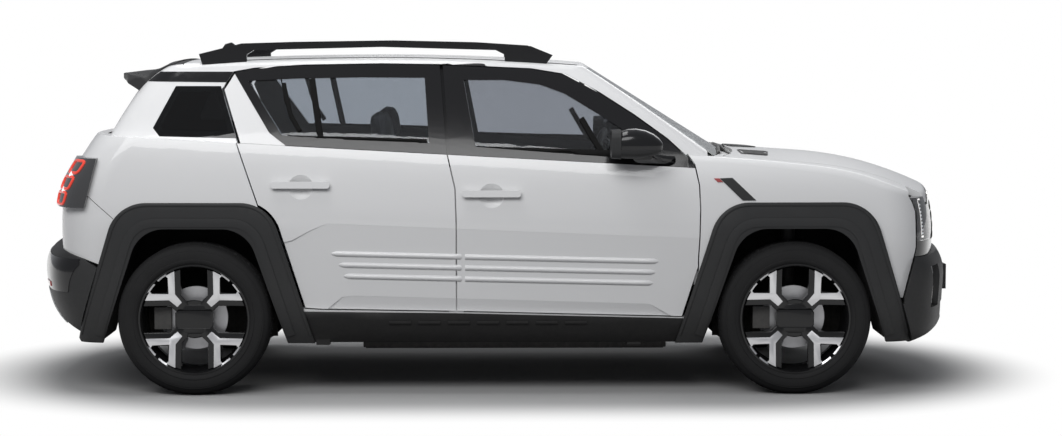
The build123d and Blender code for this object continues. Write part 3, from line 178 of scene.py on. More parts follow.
def build_dust():
    """How much road dust lies at a point: most below Low, none above High, broken up by noise."""
    tree, start, end = group_start("dust", [("Low", 0.15), ("High", 0.6), ("Amount", 0.2)],
                                   [("Mask", "NodeSocketFloat")])
    where = tree.nodes.new("ShaderNodeTexCoord")
    split = tree.nodes.new("ShaderNodeSeparateXYZ")
    ramp = tree.nodes.new("ShaderNodeMapRange")
    ramp.inputs["To Min"].default_value = 1.0
    ramp.inputs["To Max"].default_value = 0.0
    noise = tree.nodes.new("ShaderNodeTexNoise")
    noise.inputs["Scale"].default_value = 60.0
    noise.inputs["Detail"].default_value = 6.0
    both = tree.nodes.new("ShaderNodeMath")
    both.operation = "MULTIPLY"
    much = tree.nodes.new("ShaderNodeMath")
    much.operation = "MULTIPLY"
    tree.links.new(where.outputs["Object"], split.inputs[0])
    tree.links.new(where.outputs["Object"], noise.inputs["Vector"])
    tree.links.new(split.outputs["Z"], ramp.inputs["Value"])
    tree.links.new(start.outputs["Low"], ramp.inputs["From Min"])
    tree.links.new(start.outputs["High"], ramp.inputs["From Max"])
    tree.links.new(ramp.outputs["Result"], both.inputs[0])
    tree.links.new(noise.outputs["Fac"], both.inputs[1])
    tree.links.new(both.outputs[0], much.inputs[0])
    tree.links.new(start.outputs["Amount"], much.inputs[1])
    tree.links.new(much.outputs[0], end.inputs["Mask"])
    return tree


GRAIN, TONE, DUST = build_grain(), build_tone(), build_dust()
print("node groups", [tree.name for tree in (GRAIN, TONE, DUST)])

# %% [markdown]
# ## Finishes
# Every finish is one Principled shader. The helper gives it a base colour whose tone wanders a little, road
# dust near the ground, and a bump from the grain group, each with its own numbers.

# %% A finish made from the shared groups
DUST_COLOUR = (0.28, 0.26, 0.23)


def use_group(tree, group, **values):
    """One copy of a shared effect in a material, with its own values."""
    node = tree.nodes.new("ShaderNodeGroup")
    node.node_tree = group
    for label, value in values.items():
        node.inputs[label].default_value = value
    return node


def finish(name, colour, roughness, metallic=0.0, coat=0.0, tone=0.05, tone_scale=1.4, dust=0.0,
           dust_high=0.55, grain=0.0, grain_scale=900.0, grain_mix=0.5, sheen=0.0, specular=0.5):
    """A procedural finish: wandering tone, dust low down and a grain that catches the light."""
    material = bpy.data.materials.new(name)
    material.use_nodes = True
    tree = material.node_tree
    shader = tree.nodes["Principled BSDF"]
    shader.inputs["Metallic"].default_value = metallic
    shader.inputs["Coat Weight"].default_value = coat
    shader.inputs["Coat Roughness"].default_value = 0.04
    shader.inputs["Sheen Weight"].default_value = sheen
    shader.inputs["Specular IOR Level"].default_value = specular
    wander = use_group(tree, TONE, Scale=tone_scale, Depth=tone)
    toned = tree.nodes.new("ShaderNodeMix")
    toned.data_type = "RGBA"
    toned.inputs["A"].default_value = (0, 0, 0, 1)
    toned.inputs["B"].default_value = (*colour, 1)
    tree.links.new(wander.outputs["Value"], toned.inputs["Factor"])
    last = toned.outputs["Result"]
    if dust:
        dusty = use_group(tree, DUST, High=dust_high, Amount=dust)
        coated = tree.nodes.new("ShaderNodeMix")
        coated.data_type = "RGBA"
        coated.inputs["B"].default_value = (*DUST_COLOUR, 1)
        tree.links.new(dusty.outputs["Mask"], coated.inputs["Factor"])
        tree.links.new(last, coated.inputs["A"])
        last = coated.outputs["Result"]
    tree.links.new(last, shader.inputs["Base Color"])
    rough = tree.nodes.new("ShaderNodeMapRange")
    rough.inputs["From Min"].default_value = 1 - max(tone, 0.01)
    rough.inputs["To Min"].default_value = min(1.0, roughness * 1.15)
    rough.inputs["To Max"].default_value = roughness
    tree.links.new(wander.outputs["Value"], rough.inputs["Value"])
    tree.links.new(rough.outputs["Result"], shader.inputs["Roughness"])
    if grain:
        pebbles = use_group(tree, GRAIN, Scale=grain_scale, Mix=grain_mix)
        bump = tree.nodes.new("ShaderNodeBump")
        bump.inputs["Strength"].default_value = grain
        bump.inputs["Distance"].default_value = 0.0006
        tree.links.new(pebbles.outputs["Height"], bump.inputs["Height"])
        tree.links.new(bump.outputs["Normal"], shader.inputs["Normal"])
    return material


# %% Paint, plastics, rubber, metals and cloth
WHITE = finish("white_paint", (0.735, 0.737, 0.74), 0.42, coat=0.55, tone=0.03, dust=0.10, dust_high=0.5,
               grain=0.04, grain_scale=240.0, grain_mix=0.8)
GLOSS = finish("gloss_black", (0.010, 0.010, 0.011), 0.14, coat=0.25, tone=0.05, dust=0.01, grain=0.02,
               grain_scale=300, specular=0.28)
CLAD = finish("grained_plastic", (0.020, 0.0205, 0.0215), 0.52, tone=0.12, dust=0.06, dust_high=0.75,
              grain=0.55, grain_scale=1100.0, specular=0.32)
SILL = finish("sill_plastic", (0.008, 0.008, 0.0085), 0.5, tone=0.12, dust=0.05, grain=0.4,
              grain_scale=1100.0, specular=0.25)
FELT = finish("arch_felt", (0.012, 0.012, 0.012), 0.95, tone=0.3, tone_scale=30, dust=0.25, grain=0.9,
              grain_scale=700)
RUBBER = finish("tyre_rubber", (0.011, 0.011, 0.0115), 0.72, tone=0.18, tone_scale=12, grain=0.35,
                grain_scale=1500, specular=0.3)
MACHINED = finish("machined_alloy", (0.62, 0.62, 0.63), 0.32, metallic=1.0, coat=0.6, tone=0.08,
                  tone_scale=10, grain=0.05, grain_scale=3000)
WHEEL_BLACK = finish("wheel_black", (0.007, 0.007, 0.0075), 0.24, coat=0.2, tone=0.1, tone_scale=8,
                     grain=0.03, specular=0.28)
IRON = finish("brake_iron", (0.42, 0.42, 0.43), 0.42, metallic=1.0, tone=0.2, tone_scale=25, grain=0.2,
              grain_scale=1600)
CALIPER = finish("caliper_paint", (0.20, 0.20, 0.205), 0.5, metallic=0.4, tone=0.15, tone_scale=15, grain=0.3)
CHASSIS = finish("chassis_black", (0.03, 0.03, 0.031), 0.6, tone=0.2, tone_scale=6, dust=0.3, grain=0.4)
CAST = finish("cast_aluminium", (0.45, 0.45, 0.46), 0.5, metallic=0.9, tone=0.15, tone_scale=9, grain=0.5)
UNDERSEAL = finish("underseal", (0.03, 0.03, 0.03), 0.85, tone=0.25, tone_scale=5, dust=0.2, grain=0.8)
CABIN = finish("cabin_plastic", (0.035, 0.036, 0.039), 0.62, tone=0.1, grain=0.5, grain_scale=1400)
CABIN_PALE = finish("headliner", (0.42, 0.42, 0.41), 0.9, tone=0.06, grain=0.5, grain_scale=1200)
SKID = finish("skid_grey", (0.30, 0.31, 0.315), 0.42, metallic=0.3, tone=0.06, dust=0.15, grain=0.2)
PLATE = finish("plate_white", (0.74, 0.74, 0.72), 0.35, tone=0.03, grain=0.05)
print("finishes", len(bpy.data.materials))

# %% [markdown]
# ## Glass and lenses
# The side glass is lightly tinted: two panes, near and far, turn the white behind the car to a cool grey.
# The rear and quarter glass is darker. A clear shell with a colour of its own does both, and the lamps too.

# %% Clear, tinted and red glass
def glass(name, colour, roughness=0.0, alpha=1.0):
    """A clear or tinted solid pane."""
    material = bpy.data.materials.new(name)
    material.use_nodes = True
    tree = material.node_tree
    shader = tree.nodes["Principled BSDF"]
    shader.inputs["Transmission Weight"].default_value = 1.0
    shader.inputs["IOR"].default_value = 1.45
    shader.inputs["Alpha"].default_value = alpha
    wander = use_group(tree, TONE, Scale=3.0, Depth=0.03)
    toned = tree.nodes.new("ShaderNodeMix")
    toned.data_type = "RGBA"
    toned.inputs["A"].default_value = (0, 0, 0, 1)
    toned.inputs["B"].default_value = (*colour, 1)
    tree.links.new(wander.outputs["Value"], toned.inputs["Factor"])
    tree.links.new(toned.outputs["Result"], shader.inputs["Base Color"])
    shader.inputs["Roughness"].default_value = roughness
    return material


SIDE_GLASS = glass("side_glass", (0.50, 0.53, 0.57))
FRONT_SIDE_GLASS = glass("front_side_glass", (0.47, 0.49, 0.525))
SCREEN_GLASS = glass("screen_glass", (0.80, 0.84, 0.84))
DARK_GLASS = glass("privacy_glass", (0.045, 0.047, 0.05))
LENS = glass("lamp_lens", (0.93, 0.94, 0.95))
RED_LENS = glass("red_lens", (0.75, 0.10, 0.08), 0.05)
print("glasses", 5)

# %% Finishes on the frame's own pieces
FINISH_OF = {
    "white_paint": WHITE, "gloss_black": GLOSS, "black_plastic": CLAD, "liner_felt": FELT,
    "clear_glass": SIDE_GLASS, "dark_glass": DARK_GLASS, "lamp_clear": LENS, "lamp_red": RED_LENS,
    "alloy": WHEEL_BLACK, "tyre_rubber": RUBBER, "suspension_steel": CHASSIS, "cast_aluminium": CAST,
    "battery_case": CHASSIS, "underbody": UNDERSEAL, "cabin_plastic": CABIN, "seat_fabric": CABIN}
for row in frame["record"]["subparts"]:
    node = nodes[row["node"]]
    node.data.materials.clear()
    node.data.materials.append(FINISH_OF[row["material_slot"]])
for name, material in (("windscreen", SCREEN_GLASS), ("front_door_glass_right", FRONT_SIDE_GLASS),
                       ("front_door_glass_left", FRONT_SIDE_GLASS), ("sill_trims", SILL)):
    nodes[name].data.materials.clear()
    nodes[name].data.materials.append(material)
print("dressed", len(nodes))

# %% [markdown]
# ## Making a piece
# Every new piece goes through the same few steps: its mesh is closed and faces outwards, its corners are
# shaded sharp or smooth by their angle, it gets its finishes, and it rides on the body that carries it. The
# car is the same on both sides, so most pieces are made once, for the right side, and mirrored.

# %% Helpers: adding a piece, or a mirrored pair
made = []


def add_piece(name, bm, finishes, body, slot, angle=32, bevel=0.0):
    """Turns a bmesh into a finished piece that rides on a body."""
    mesh = bpy.data.meshes.new(name)
    bm.normal_update()
    bm.to_mesh(mesh)
    bm.free()
    for material in finishes:
        mesh.materials.append(material)
    mesh.shade_smooth()
    mesh.set_sharp_from_angle(angle=math.radians(angle))
    piece = bpy.data.objects.new(name, mesh)
    scene.collection.objects.link(piece)
    if bevel:
        rounding = piece.modifiers.new("rounding", "BEVEL")
        rounding.width = bevel
        rounding.segments = 2
        rounding.limit_method = "ANGLE"
        rounding.angle_limit = math.radians(angle)
        rounding.harden_normals = False
    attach(piece, body)
    made.append(piece)
    return piece


def flipped(bm):
    """The same mesh on the other side of the car."""
    other = bm.copy()
    bmesh.ops.scale(other, vec=(1, -1, 1), verts=other.verts)
    bmesh.ops.reverse_faces(other, faces=other.faces)
    return other


def add_pair(name, bm, finishes, body, slot, **how):
    """The right-hand piece and its mirror image. A body name with SIDE in it is filled in for each side."""
    left = flipped(bm)
    right_piece = add_piece(name + "_right", bm, finishes, body.replace("SIDE", "right"), slot, **how)
    left_piece = add_piece(name + "_left", left, finishes, body.replace("SIDE", "left"), slot, **how)
    return right_piece, left_piece


def faced_out(bm):
    """Doubles merged and faces turned outwards, for a closed shape."""
    bmesh.ops.remove_doubles(bm, verts=bm.verts, dist=1e-6)
    bmesh.ops.recalc_face_normals(bm, faces=bm.faces)
    return bm


# %% Helpers: rounded boxes, prisms, turned shapes and swept shapes
def add_box(bm, low, high, bevel=0.0, segments=2, material=0):
    """A box between two corners, with rounded edges."""
    centre = [(a + b) / 2 for a, b in zip(low, high)]
    size = [b - a for a, b in zip(low, high)]
    place = Matrix.Translation(centre) @ Matrix.Diagonal((*size, 1))
    verts = bmesh.ops.create_cube(bm, size=1, matrix=place)["verts"]
    faces = list({face for vert in verts for face in vert.link_faces})
    if bevel:
        edges = list({edge for vert in verts for edge in vert.link_edges})
        rounded = bmesh.ops.bevel(bm, geom=edges, offset=bevel, segments=segments, profile=0.5,
                                  affect="EDGES", material=-1)
        faces = list({face for vert in rounded["verts"] for face in vert.link_faces} | set(rounded["faces"]))
    for face in faces:
        face.material_index = material
    return faces


def add_prism(bm, outline, depth, bevel=0.0, segments=2, material=0, front_material=None):
    """A flat outline of points pushed along a vector, its front edges rounded off."""
    face = bm.faces.new([bm.verts.new(point) for point in outline])
    face.material_index = material if front_material is None else front_material
    pushed = bmesh.ops.extrude_face_region(bm, geom=[face])
    far_verts = [item for item in pushed["geom"] if isinstance(item, bmesh.types.BMVert)]
    far_faces = [item for item in pushed["geom"] if isinstance(item, bmesh.types.BMFace)]
    bmesh.ops.translate(bm, vec=depth, verts=far_verts)
    sides = {side for vert in far_verts for side in vert.link_faces} - set(far_faces)
    for side in sides | set(far_faces):
        side.material_index = material
    if bevel:
        bmesh.ops.bevel(bm, geom=list(face.edges), offset=bevel, segments=segments, profile=0.5,
                        affect="EDGES", material=material)
    return face


def turned(bm, profile, centre, steps, axis=(0, 1, 0), material=0):
    """A closed profile of (radius, along) pairs turned once round the car's cross axis."""
    points = [Vector((centre[0] + radius, centre[1] + along, centre[2])) for radius, along in profile]
    verts = [bm.verts.new(point) for point in points]
    edges = [bm.edges.new((a, b)) for a, b in zip(verts, verts[1:] + verts[:1])]
    before = set(bm.faces)
    bmesh.ops.spin(bm, geom=verts + edges, cent=centre, axis=axis, angle=math.tau, steps=steps,
                   use_merge=True)
    fresh = [face for face in bm.faces if face not in before]
    for face in fresh:
        face.material_index = material
    return fresh


def swept(rings, material=0, bm=None):
    """A closed solid through rings of points: a grid wrapped round, its ends filled."""
    part = bmesh.new()
    across = len(rings[0])
    bmesh.ops.create_grid(part, x_segments=across, y_segments=len(rings) - 1, size=1)
    part.verts.ensure_lookup_table()
    for index, vert in enumerate(part.verts):
        row, column = divmod(index, across + 1)
        vert.co = rings[row][column % across]
    bmesh.ops.remove_doubles(part, verts=part.verts, dist=1e-6)
    bmesh.ops.holes_fill(part, edges=[edge for edge in part.edges if edge.is_boundary])
    bmesh.ops.recalc_face_normals(part, faces=part.faces)
    for face in part.faces:
        face.material_index = material
    if bm is None:
        return part
    return join(bm, part)


def join(bm, part):
    """Adds a second bmesh to the first one."""
    mesh = bpy.data.meshes.new("joined")
    part.to_mesh(mesh)
    part.free()
    bm.from_mesh(mesh)
    bpy.data.meshes.remove(mesh)
    return bm


# %% Helpers: finding the painted surface
def surface_of(*names):
    """A search tree over the frame's own pieces, so that trims can lie on them."""
    corners, faces = [], []
    for name in names:
        mesh = nodes[name].data
        first = len(corners)
        corners.extend(vertex.co.copy() for vertex in mesh.vertices)
        faces.extend([first + index for index in polygon.vertices] for polygon in mesh.polygons)
    return BVHTree.FromPolygons(corners, faces)


def touch(tree, x, z, lift=0.0):
    """The point of the right side's surface at x and z, lifted off it by a little."""
    hit, normal, _, _ = tree.ray_cast(Vector((x, -3.0, z)), Vector((0, 1, 0)), 3.0)
    if hit is None:
        hit, normal, _, _ = tree.find_nearest(Vector((x, -0.95, z)))
        hit = Vector((x, hit.y, z))
    if normal.y > 0:
        normal = -normal
    return hit + normal * lift


RIGHT_SKIN = surface_of("front_door_right", "rear_door_right", "front_fender_right", "body_side_right",
                        "rear_bumper", "front_panel")
print("door skin at the handle", tuple(round(v, 3) for v in touch(RIGHT_SKIN, -0.3, 0.95)))


# %% Helpers: laying strips and shells on a surface
def view_on(tree, centre, right, up, toward):
    """Lays flat (s, t) drawings on a surface: returns a function from (s, t, lift) to a point."""
    centre, right, up, toward = (Vector(v) for v in (centre, right, up, toward))

    def place(s, t, lift=0.0):
        start = centre + right * s + up * t
        hit, normal, _, _ = tree.ray_cast(start - toward * 1.2, toward, 2.4)
        if hit is None:
            hit, normal, _, _ = tree.find_nearest(start)
        if normal.dot(toward) > 0:
            normal = -normal
        return hit + normal * lift
    return place


def strip_on(place, path, half, high, sink=0.002, closed=False, crown=0.0, step=0.02):
    """A raised strip along a path of (s, t) points, its middle higher than its edges by the crown."""
    points = [Vector(point) for point in path]
    if closed:
        points.append(points[0])
    line = [points[0]]
    for a, b in zip(points, points[1:]):
        pieces = max(1, int((b - a).length / step))
        line += [a.lerp(b, (i + 1) / pieces) for i in range(pieces)]
    if closed:
        line.pop()
    rings = []
    count = len(line)
    for index, point in enumerate(line):
        before = line[index - 1] if index or closed else point
        after = line[(index + 1) % count] if index + 1 < count or closed else point
        along = (after - before).normalized()
        side = Vector((-along.y, along.x))
        width = half(index / (count - 1)) if callable(half) else half
        ring = [place(*(point + side * width), high), place(*(point + side * width * 0.4), high + crown),
                place(*(point - side * width * 0.4), high + crown), place(*(point - side * width), high),
                place(*(point - side * width), -sink), place(*(point + side * width), -sink)]
        rings.append(ring)
    if closed:
        rings.append(rings[0])
    return swept(rings)


def round_corners(corners, radius, steps=4):
    """A closed outline of (s, t) corners with each corner rounded."""
    rounded = []
    count = len(corners)
    for index, corner in enumerate(corners):
        here = Vector(corner)
        back = (Vector(corners[index - 1]) - here)
        ahead = (Vector(corners[(index + 1) % count]) - here)
        cut = min(radius, back.length * 0.45, ahead.length * 0.45)
        first, last = here + back.normalized() * cut, here + ahead.normalized() * cut
        for i in range(steps + 1):
            share = i / steps
            rounded.append(first.lerp(here, share).lerp(here.lerp(last, share), share))
    return rounded


def dome_ring(x, y_mid, half, base, high, steps=14, squareness=0.7):
    """A half-round ring across the car: flat base and a domed top."""
    ring = []
    for i in range(steps + 1):
        angle = math.pi * i / steps
        flat, rise = math.cos(angle), math.sin(angle)
        ring.append(Vector((x, y_mid + half * math.copysign(abs(flat) ** squareness, flat),
                            base + high * rise ** squareness)))
    return ring


def paint_faces(name, material, wanted):
    """Gives a second finish to the frame piece's faces that pass a test of centre and normal."""
    mesh = nodes[name].data
    mesh.materials.append(material)
    slot_index = len(mesh.materials) - 1
    count = 0
    for polygon in mesh.polygons:
        if wanted(polygon.center, polygon.normal):
            polygon.material_index = slot_index
            count += 1
    return count

# %% [markdown]
# ## Tyres
# A tyre is a turned shape: one section spun once round the wheel. The section has four grooves round the
# tread, a stiff shoulder and a rib that guards the rim. The blocks between the grooves are cut across by
# sinking every other face of the spun tread, which is how a mould leaves them too.

# %% One tyre, then four
AXLE_X = {"front": 1.305, "rear": 1.305 - 2.624}
WHEEL_Y = 0.780
WHEEL_Z = 0.334
TYRE_STEPS = 120
GROOVES = (-0.052, -0.018, 0.018, 0.052)


def tyre_profile():
    """The tyre's section as (radius, across) pairs, outer side at negative across."""
    tread, deep, half = 0.334, 0.3265, 0.004
    points = [(0.2425, -0.086), (0.247, -0.092), (0.256, -0.0965), (0.262, -0.0975), (0.264, -0.0955),
              (0.270, -0.0965), (0.284, -0.0980), (0.297, -0.0968), (0.299, -0.0950), (0.303, -0.0950),
              (0.305, -0.0925), (0.315, -0.0880), (0.3225, -0.0815), (0.3285, -0.0720), (0.3315, -0.0630)]
    for centre in GROOVES:
        points += [(tread, centre - half - 0.001), (deep, centre - half + 0.001),
                   (deep, centre + half - 0.001), (tread, centre + half + 0.001)]
    mirrored_side = [(radius, -across) for radius, across in reversed(points[:15])]
    inner = [(0.250, 0.070), (0.290, 0.060), (0.290, -0.060), (0.250, -0.070)]
    return points + mirrored_side + inner


def build_tyre(centre):
    bm = bmesh.new()
    turned(bm, tyre_profile(), centre, TYRE_STEPS)
    faced_out(bm)
    sink = []
    for face in bm.faces:
        middle = face.calc_center_median() - Vector(centre)
        radius = math.hypot(middle.x, middle.z)
        step = round(math.atan2(middle.z, middle.x) / math.tau * TYRE_STEPS - 0.5) % TYRE_STEPS
        outer_band = 0.3255 < radius < 0.333 and abs(middle.y) > 0.062
        block_band = radius > 0.3335
        if (outer_band and step % 3 == 0) or (block_band and step % 4 == (1 if middle.y > 0 else 3)):
            sink.append(face)
    bmesh.ops.inset_individual(bm, faces=sink, thickness=0.0012, depth=-0.0045)
    return bm


for end, x in AXLE_X.items():
    bm = build_tyre((x, -WHEEL_Y, WHEEL_Z))
    pair = add_pair("tyre_tread_" + end, bm, [RUBBER], "wheel_" + end + "_SIDE", "tyre_rubber", angle=28)
    for piece, side in zip(pair, ("right", "left")):
        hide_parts("tyre_" + end + "_" + side)
print("tyre faces", len(pair[0].data.polygons))

# %% [markdown]
# ## Alloy wheels
# Each wheel has four arms that fork into two legs at right angles. The cast body is gloss black, and only
# its front faces are machined bright, so the bright shape is a thinner copy that lies just proud of the
# black one. Both are flat outlines pushed to a thickness and bevelled, with the outer ends lifted to the rim.

# %% The forked spokes
BLACK_FORK = [(0.016, 0.016), (0.079, 0.032), (0.105, 0.058), (0.2205, 0.058), (0.199, 0.113), (0.117, 0.117),
              (0.113, 0.199), (0.058, 0.2205), (0.058, 0.105), (0.032, 0.079)]
BRIGHT_FORK = [(0.074, 0.053), (0.110, 0.083), (0.2125, 0.083), (0.2065, 0.0965), (0.1985, 0.112),
               (0.191, 0.124), (0.182, 0.1135), (0.1135, 0.1115), (0.1115, 0.1135), (0.1135, 0.182),
               (0.124, 0.191), (0.112, 0.1985), (0.0965, 0.2065), (0.083, 0.2125), (0.083, 0.110),
               (0.053, 0.074)]
FACE_OUT = 0.066
LEG_RISE = 0.16


def fork(bm, outline, front, depth, bevel, material, front_material):
    """Four copies of a fork outline round the wheel's centre, front faces towards -Y."""
    for quarter in range(4):
        turn = Matrix.Rotation(math.radians(90 * quarter), 3, "Y")
        points = [turn @ Vector((u, front, v)) for u, v in outline]
        add_prism(bm, points, Vector((0, depth, 0)), bevel, 2, material, front_material)


def build_spokes(centre):
    bm = bmesh.new()
    fork(bm, BLACK_FORK, -FACE_OUT, 0.030, 0.004, 0, 0)
    fork(bm, BRIGHT_FORK, -FACE_OUT - 0.0016, 0.004, 0.0007, 0, 1)
    turned(bm, [(0.001, -0.062), (0.080, -0.062), (0.084, -0.058), (0.084, -0.030), (0.001, -0.030)],
           (0, 0, 0), 48)
    for vert in bm.verts:
        radius = math.hypot(vert.co.x, vert.co.z)
        vert.co.y -= max(0.0, radius - 0.135) * LEG_RISE
    faced_out(bm)
    bmesh.ops.translate(bm, vec=centre, verts=bm.verts)
    return bm


def build_rim(centre):
    """The barrel, its outer lip, and the bright arcs between the legs' tips."""
    bm = bmesh.new()
    barrel = [(0.242, -0.088), (0.2345, -0.0885), (0.2315, -0.084), (0.229, -0.076), (0.2255, -0.060),
              (0.220, -0.040), (0.216, 0.0), (0.217, 0.060), (0.232, 0.086), (0.242, 0.088), (0.242, 0.082),
              (0.229, 0.076), (0.226, 0.050), (0.225, 0.0), (0.229, -0.045), (0.235, -0.066), (0.242, -0.080)]
    turned(bm, barrel, (0, 0, 0), 96)
    for quarter in range(4):
        for first, last in ((31.5, 42.5), (47.5, 58.5)):
            start = math.radians(90 * quarter + first)
            ends = [(0.2265, -0.0835), (0.2335, -0.0870), (0.2335, -0.080), (0.2265, -0.078)]
            ring = [Vector((r * math.cos(start), a, r * math.sin(start))) for r, a in ends]
            verts = [bm.verts.new(point) for point in ring]
            face = bm.faces.new(verts)
            face.material_index = 1
            bmesh.ops.spin(bm, geom=[face], cent=(0, 0, 0), axis=(0, -1, 0), angle=math.radians(last - first),
                           steps=6, use_merge=False)
    bmesh.ops.recalc_face_normals(bm, faces=bm.faces)
    for face in bm.faces:
        middle = face.calc_center_median()
        angle = math.degrees(math.atan2(middle.z, middle.x)) % 90
        radius = math.hypot(middle.x, middle.z)
        in_arc = 31 < angle < 43 or 47 < angle < 59
        if in_arc and 0.2262 < radius < 0.2337 and -0.0885 < middle.y < -0.077:
            face.material_index = 1
    bmesh.ops.translate(bm, vec=centre, verts=bm.verts)
    return bm


def build_hub(centre):
    """The blank plate over the wheel bolts, with chamfered ends."""
    bm = bmesh.new()
    plate = [(-0.083, -0.028), (-0.072, -0.041), (0.072, -0.041), (0.083, -0.028), (0.083, 0.028),
             (0.072, 0.041), (-0.072, 0.041), (-0.083, 0.028)]
    points = [Vector((x, -0.0735, z)) for x, z in plate]
    front = add_prism(bm, points, Vector((0, 0.012, 0)))
    bmesh.ops.inset_region(bm, faces=[front], thickness=0.004, depth=0.003)
    bmesh.ops.inset_region(bm, faces=[front], thickness=0.007, depth=-0.0012)
    neck = [(-0.040, -0.064), (0.040, -0.064), (0.052, -0.048), (0.052, 0.048), (0.040, 0.064),
            (-0.040, 0.064), (-0.052, 0.048), (-0.052, -0.048)]
    add_prism(bm, [Vector((x, -0.0665, z)) for x, z in neck], Vector((0, 0.010, 0)), 0.004, 2, 0)
    faced_out(bm)
    bmesh.ops.translate(bm, vec=centre, verts=bm.verts)
    return bm


def build_disc(centre):
    """The brake disc: two worn faces, vanes between them, and a hat."""
    bm = bmesh.new()
    face_out, face_in = 0.001, 0.023
    turned(bm, [(0.072, face_out), (0.138, face_out), (0.138, face_out + 0.007), (0.072, face_out + 0.007)],
           (0, 0, 0), 96)
    turned(bm, [(0.072, face_in - 0.007), (0.138, face_in - 0.007), (0.138, face_in), (0.072, face_in)],
           (0, 0, 0), 96)
    turned(bm,
           [(0.074, -0.020), (0.078, -0.016), (0.078, 0.010), (0.070, 0.010), (0.070, -0.010),
            (0.030, -0.010), (0.030, -0.020)], (0, 0, 0), 64, material=1)
    for vane in range(36):
        turn = Matrix.Rotation(math.tau * vane / 36, 4, "Y")
        box = Matrix.Translation((0.105, 0.012, 0)) @ Matrix.Diagonal((0.056, 0.009, 0.004, 1))
        bmesh.ops.create_cube(bm, size=1, matrix=turn @ box)
    faced_out(bm)
    bmesh.ops.translate(bm, vec=centre, verts=bm.verts)
    return bm


for end, x in AXLE_X.items():
    centre = Vector((x, -WHEEL_Y, WHEEL_Z))
    rider = "wheel_" + end + "_SIDE"
    pair = add_pair("wheel_spokes_" + end, build_spokes(centre), [WHEEL_BLACK, MACHINED], rider, "alloy",
                    angle=25)
    for piece, side in zip(pair, ("right", "left")):
        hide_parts("wheel_" + end + "_" + side)
    add_pair("wheel_rim_" + end, build_rim(centre), [WHEEL_BLACK, MACHINED], rider, "alloy", angle=30)
    add_pair("hub_plate_" + end, build_hub(centre), [WHEEL_BLACK], rider, "alloy", angle=25)
    add_pair("brake_disc_" + end, build_disc(centre), [IRON, CHASSIS], rider, "suspension_steel", angle=30)
print("wheel pieces", len(made))

# %% [markdown]
# ## Calipers and splash panels
# Each brake has a caliper over the rear edge of its disc. The caliper stays with the suspension while the
# wheel turns: at the front with the knuckle, at the back with the body. Dark splash panels close the inner
# side of the wheel arches below the liners.

# %% Calipers and splash panels
def build_caliper(centre):
    bm = bmesh.new()
    for low, high in ((-0.0085, -0.0010 - 0.0030), (0.0265, 0.040)):
        ring = [(0.100, low), (0.152, low), (0.152, high), (0.100, high)]
        corner = [bm.verts.new((radius * math.cos(0.40), along, radius * math.sin(0.40)))
                  for radius, along in ring]
        bmesh.ops.spin(bm, geom=[bm.faces.new(corner)], cent=(0, 0, 0), axis=(0, -1, 0), angle=0.80, steps=10,
                       use_merge=False)
    bridge = [(0.142, -0.0085), (0.154, -0.0085), (0.154, 0.040), (0.142, 0.040)]
    corner = [bm.verts.new((radius * math.cos(0.25), along, radius * math.sin(0.25)))
              for radius, along in bridge]
    bmesh.ops.spin(bm, geom=[bm.faces.new(corner)], cent=(0, 0, 0), axis=(0, -1, 0), angle=0.50, steps=8,
                   use_merge=False)
    faced_out(bm)
    bmesh.ops.rotate(bm, cent=(0, 0, 0), matrix=Matrix.Rotation(math.radians(180), 3, "Y"), verts=bm.verts)
    bmesh.ops.translate(bm, vec=centre, verts=bm.verts)
    return bm


def build_panel(x):
    bm = bmesh.new()
    add_box(bm, (x - 0.330, -0.481, 0.214), (x + 0.330, -0.478, 0.398), 0.001, 1)
    for index in range(5):
        left = x - 0.27 + index * 0.12
        add_box(bm, (left, -0.484, 0.235), (left + 0.05, -0.480, 0.380), 0.0012, 1)
    return faced_out(bm)


for end, x in AXLE_X.items():
    centre = Vector((x, -WHEEL_Y, WHEEL_Z))
    holder = "front_knuckle_SIDE" if end == "front" else "body"
    add_pair("brake_caliper_" + end, build_caliper(centre), [CALIPER], holder, "suspension_steel", angle=35)
    add_pair("splash_panel_" + end, build_panel(x), [FELT], "body", "liner_felt", angle=35)
print("calipers and panels", 8)

# %% [markdown]
# ## Window surrounds
# The door frames above the belt line are covered with thin gloss-black mouldings, so the windows read as
# one dark band. A real moulding is a shell that follows the door frame, and so is this one: the outer skin
# of the door is copied, trimmed by straight cuts to the black area, lifted off the paint by a millimetre
# and given a wall.

# %% Cutting a thin shell from a panel's own skin
def skin_patch(names, cuts, lift=0.0014, wall=0.0016, facing=(0, -1, 0), least=0.30):
    """A thin shell over the panels' outer skin. Each cut is a point and the direction that is cut away."""
    bm = bmesh.new()
    for name in names:
        bm.from_mesh(nodes[name].data)
    bmesh.ops.remove_doubles(bm, verts=bm.verts, dist=1e-5)
    bm.normal_update()
    toward = Vector(facing)
    away = [face for face in bm.faces if face.normal.dot(toward) < least]
    bmesh.ops.delete(bm, geom=away, context="FACES")
    for point, direction in cuts:
        geometry = list(bm.verts) + list(bm.edges) + list(bm.faces)
        bmesh.ops.bisect_plane(bm, geom=geometry, plane_co=point, plane_no=direction, clear_outer=True)
    tree = surface_of(*names)
    hidden = []
    for face in bm.faces:
        start = face.calc_center_median() + toward * 0.002
        if tree.ray_cast(start, toward, 0.4)[0] is not None:
            hidden.append(face)
    bmesh.ops.delete(bm, geom=hidden, context="FACES")
    bmesh.ops.remove_doubles(bm, verts=bm.verts, dist=1e-5)
    bm.normal_update()
    for vert in bm.verts:
        vert.co += vert.normal * lift
    bmesh.ops.solidify(bm, geom=list(bm.faces), thickness=wall)
    bmesh.ops.recalc_face_normals(bm, faces=bm.faces)
    return bm


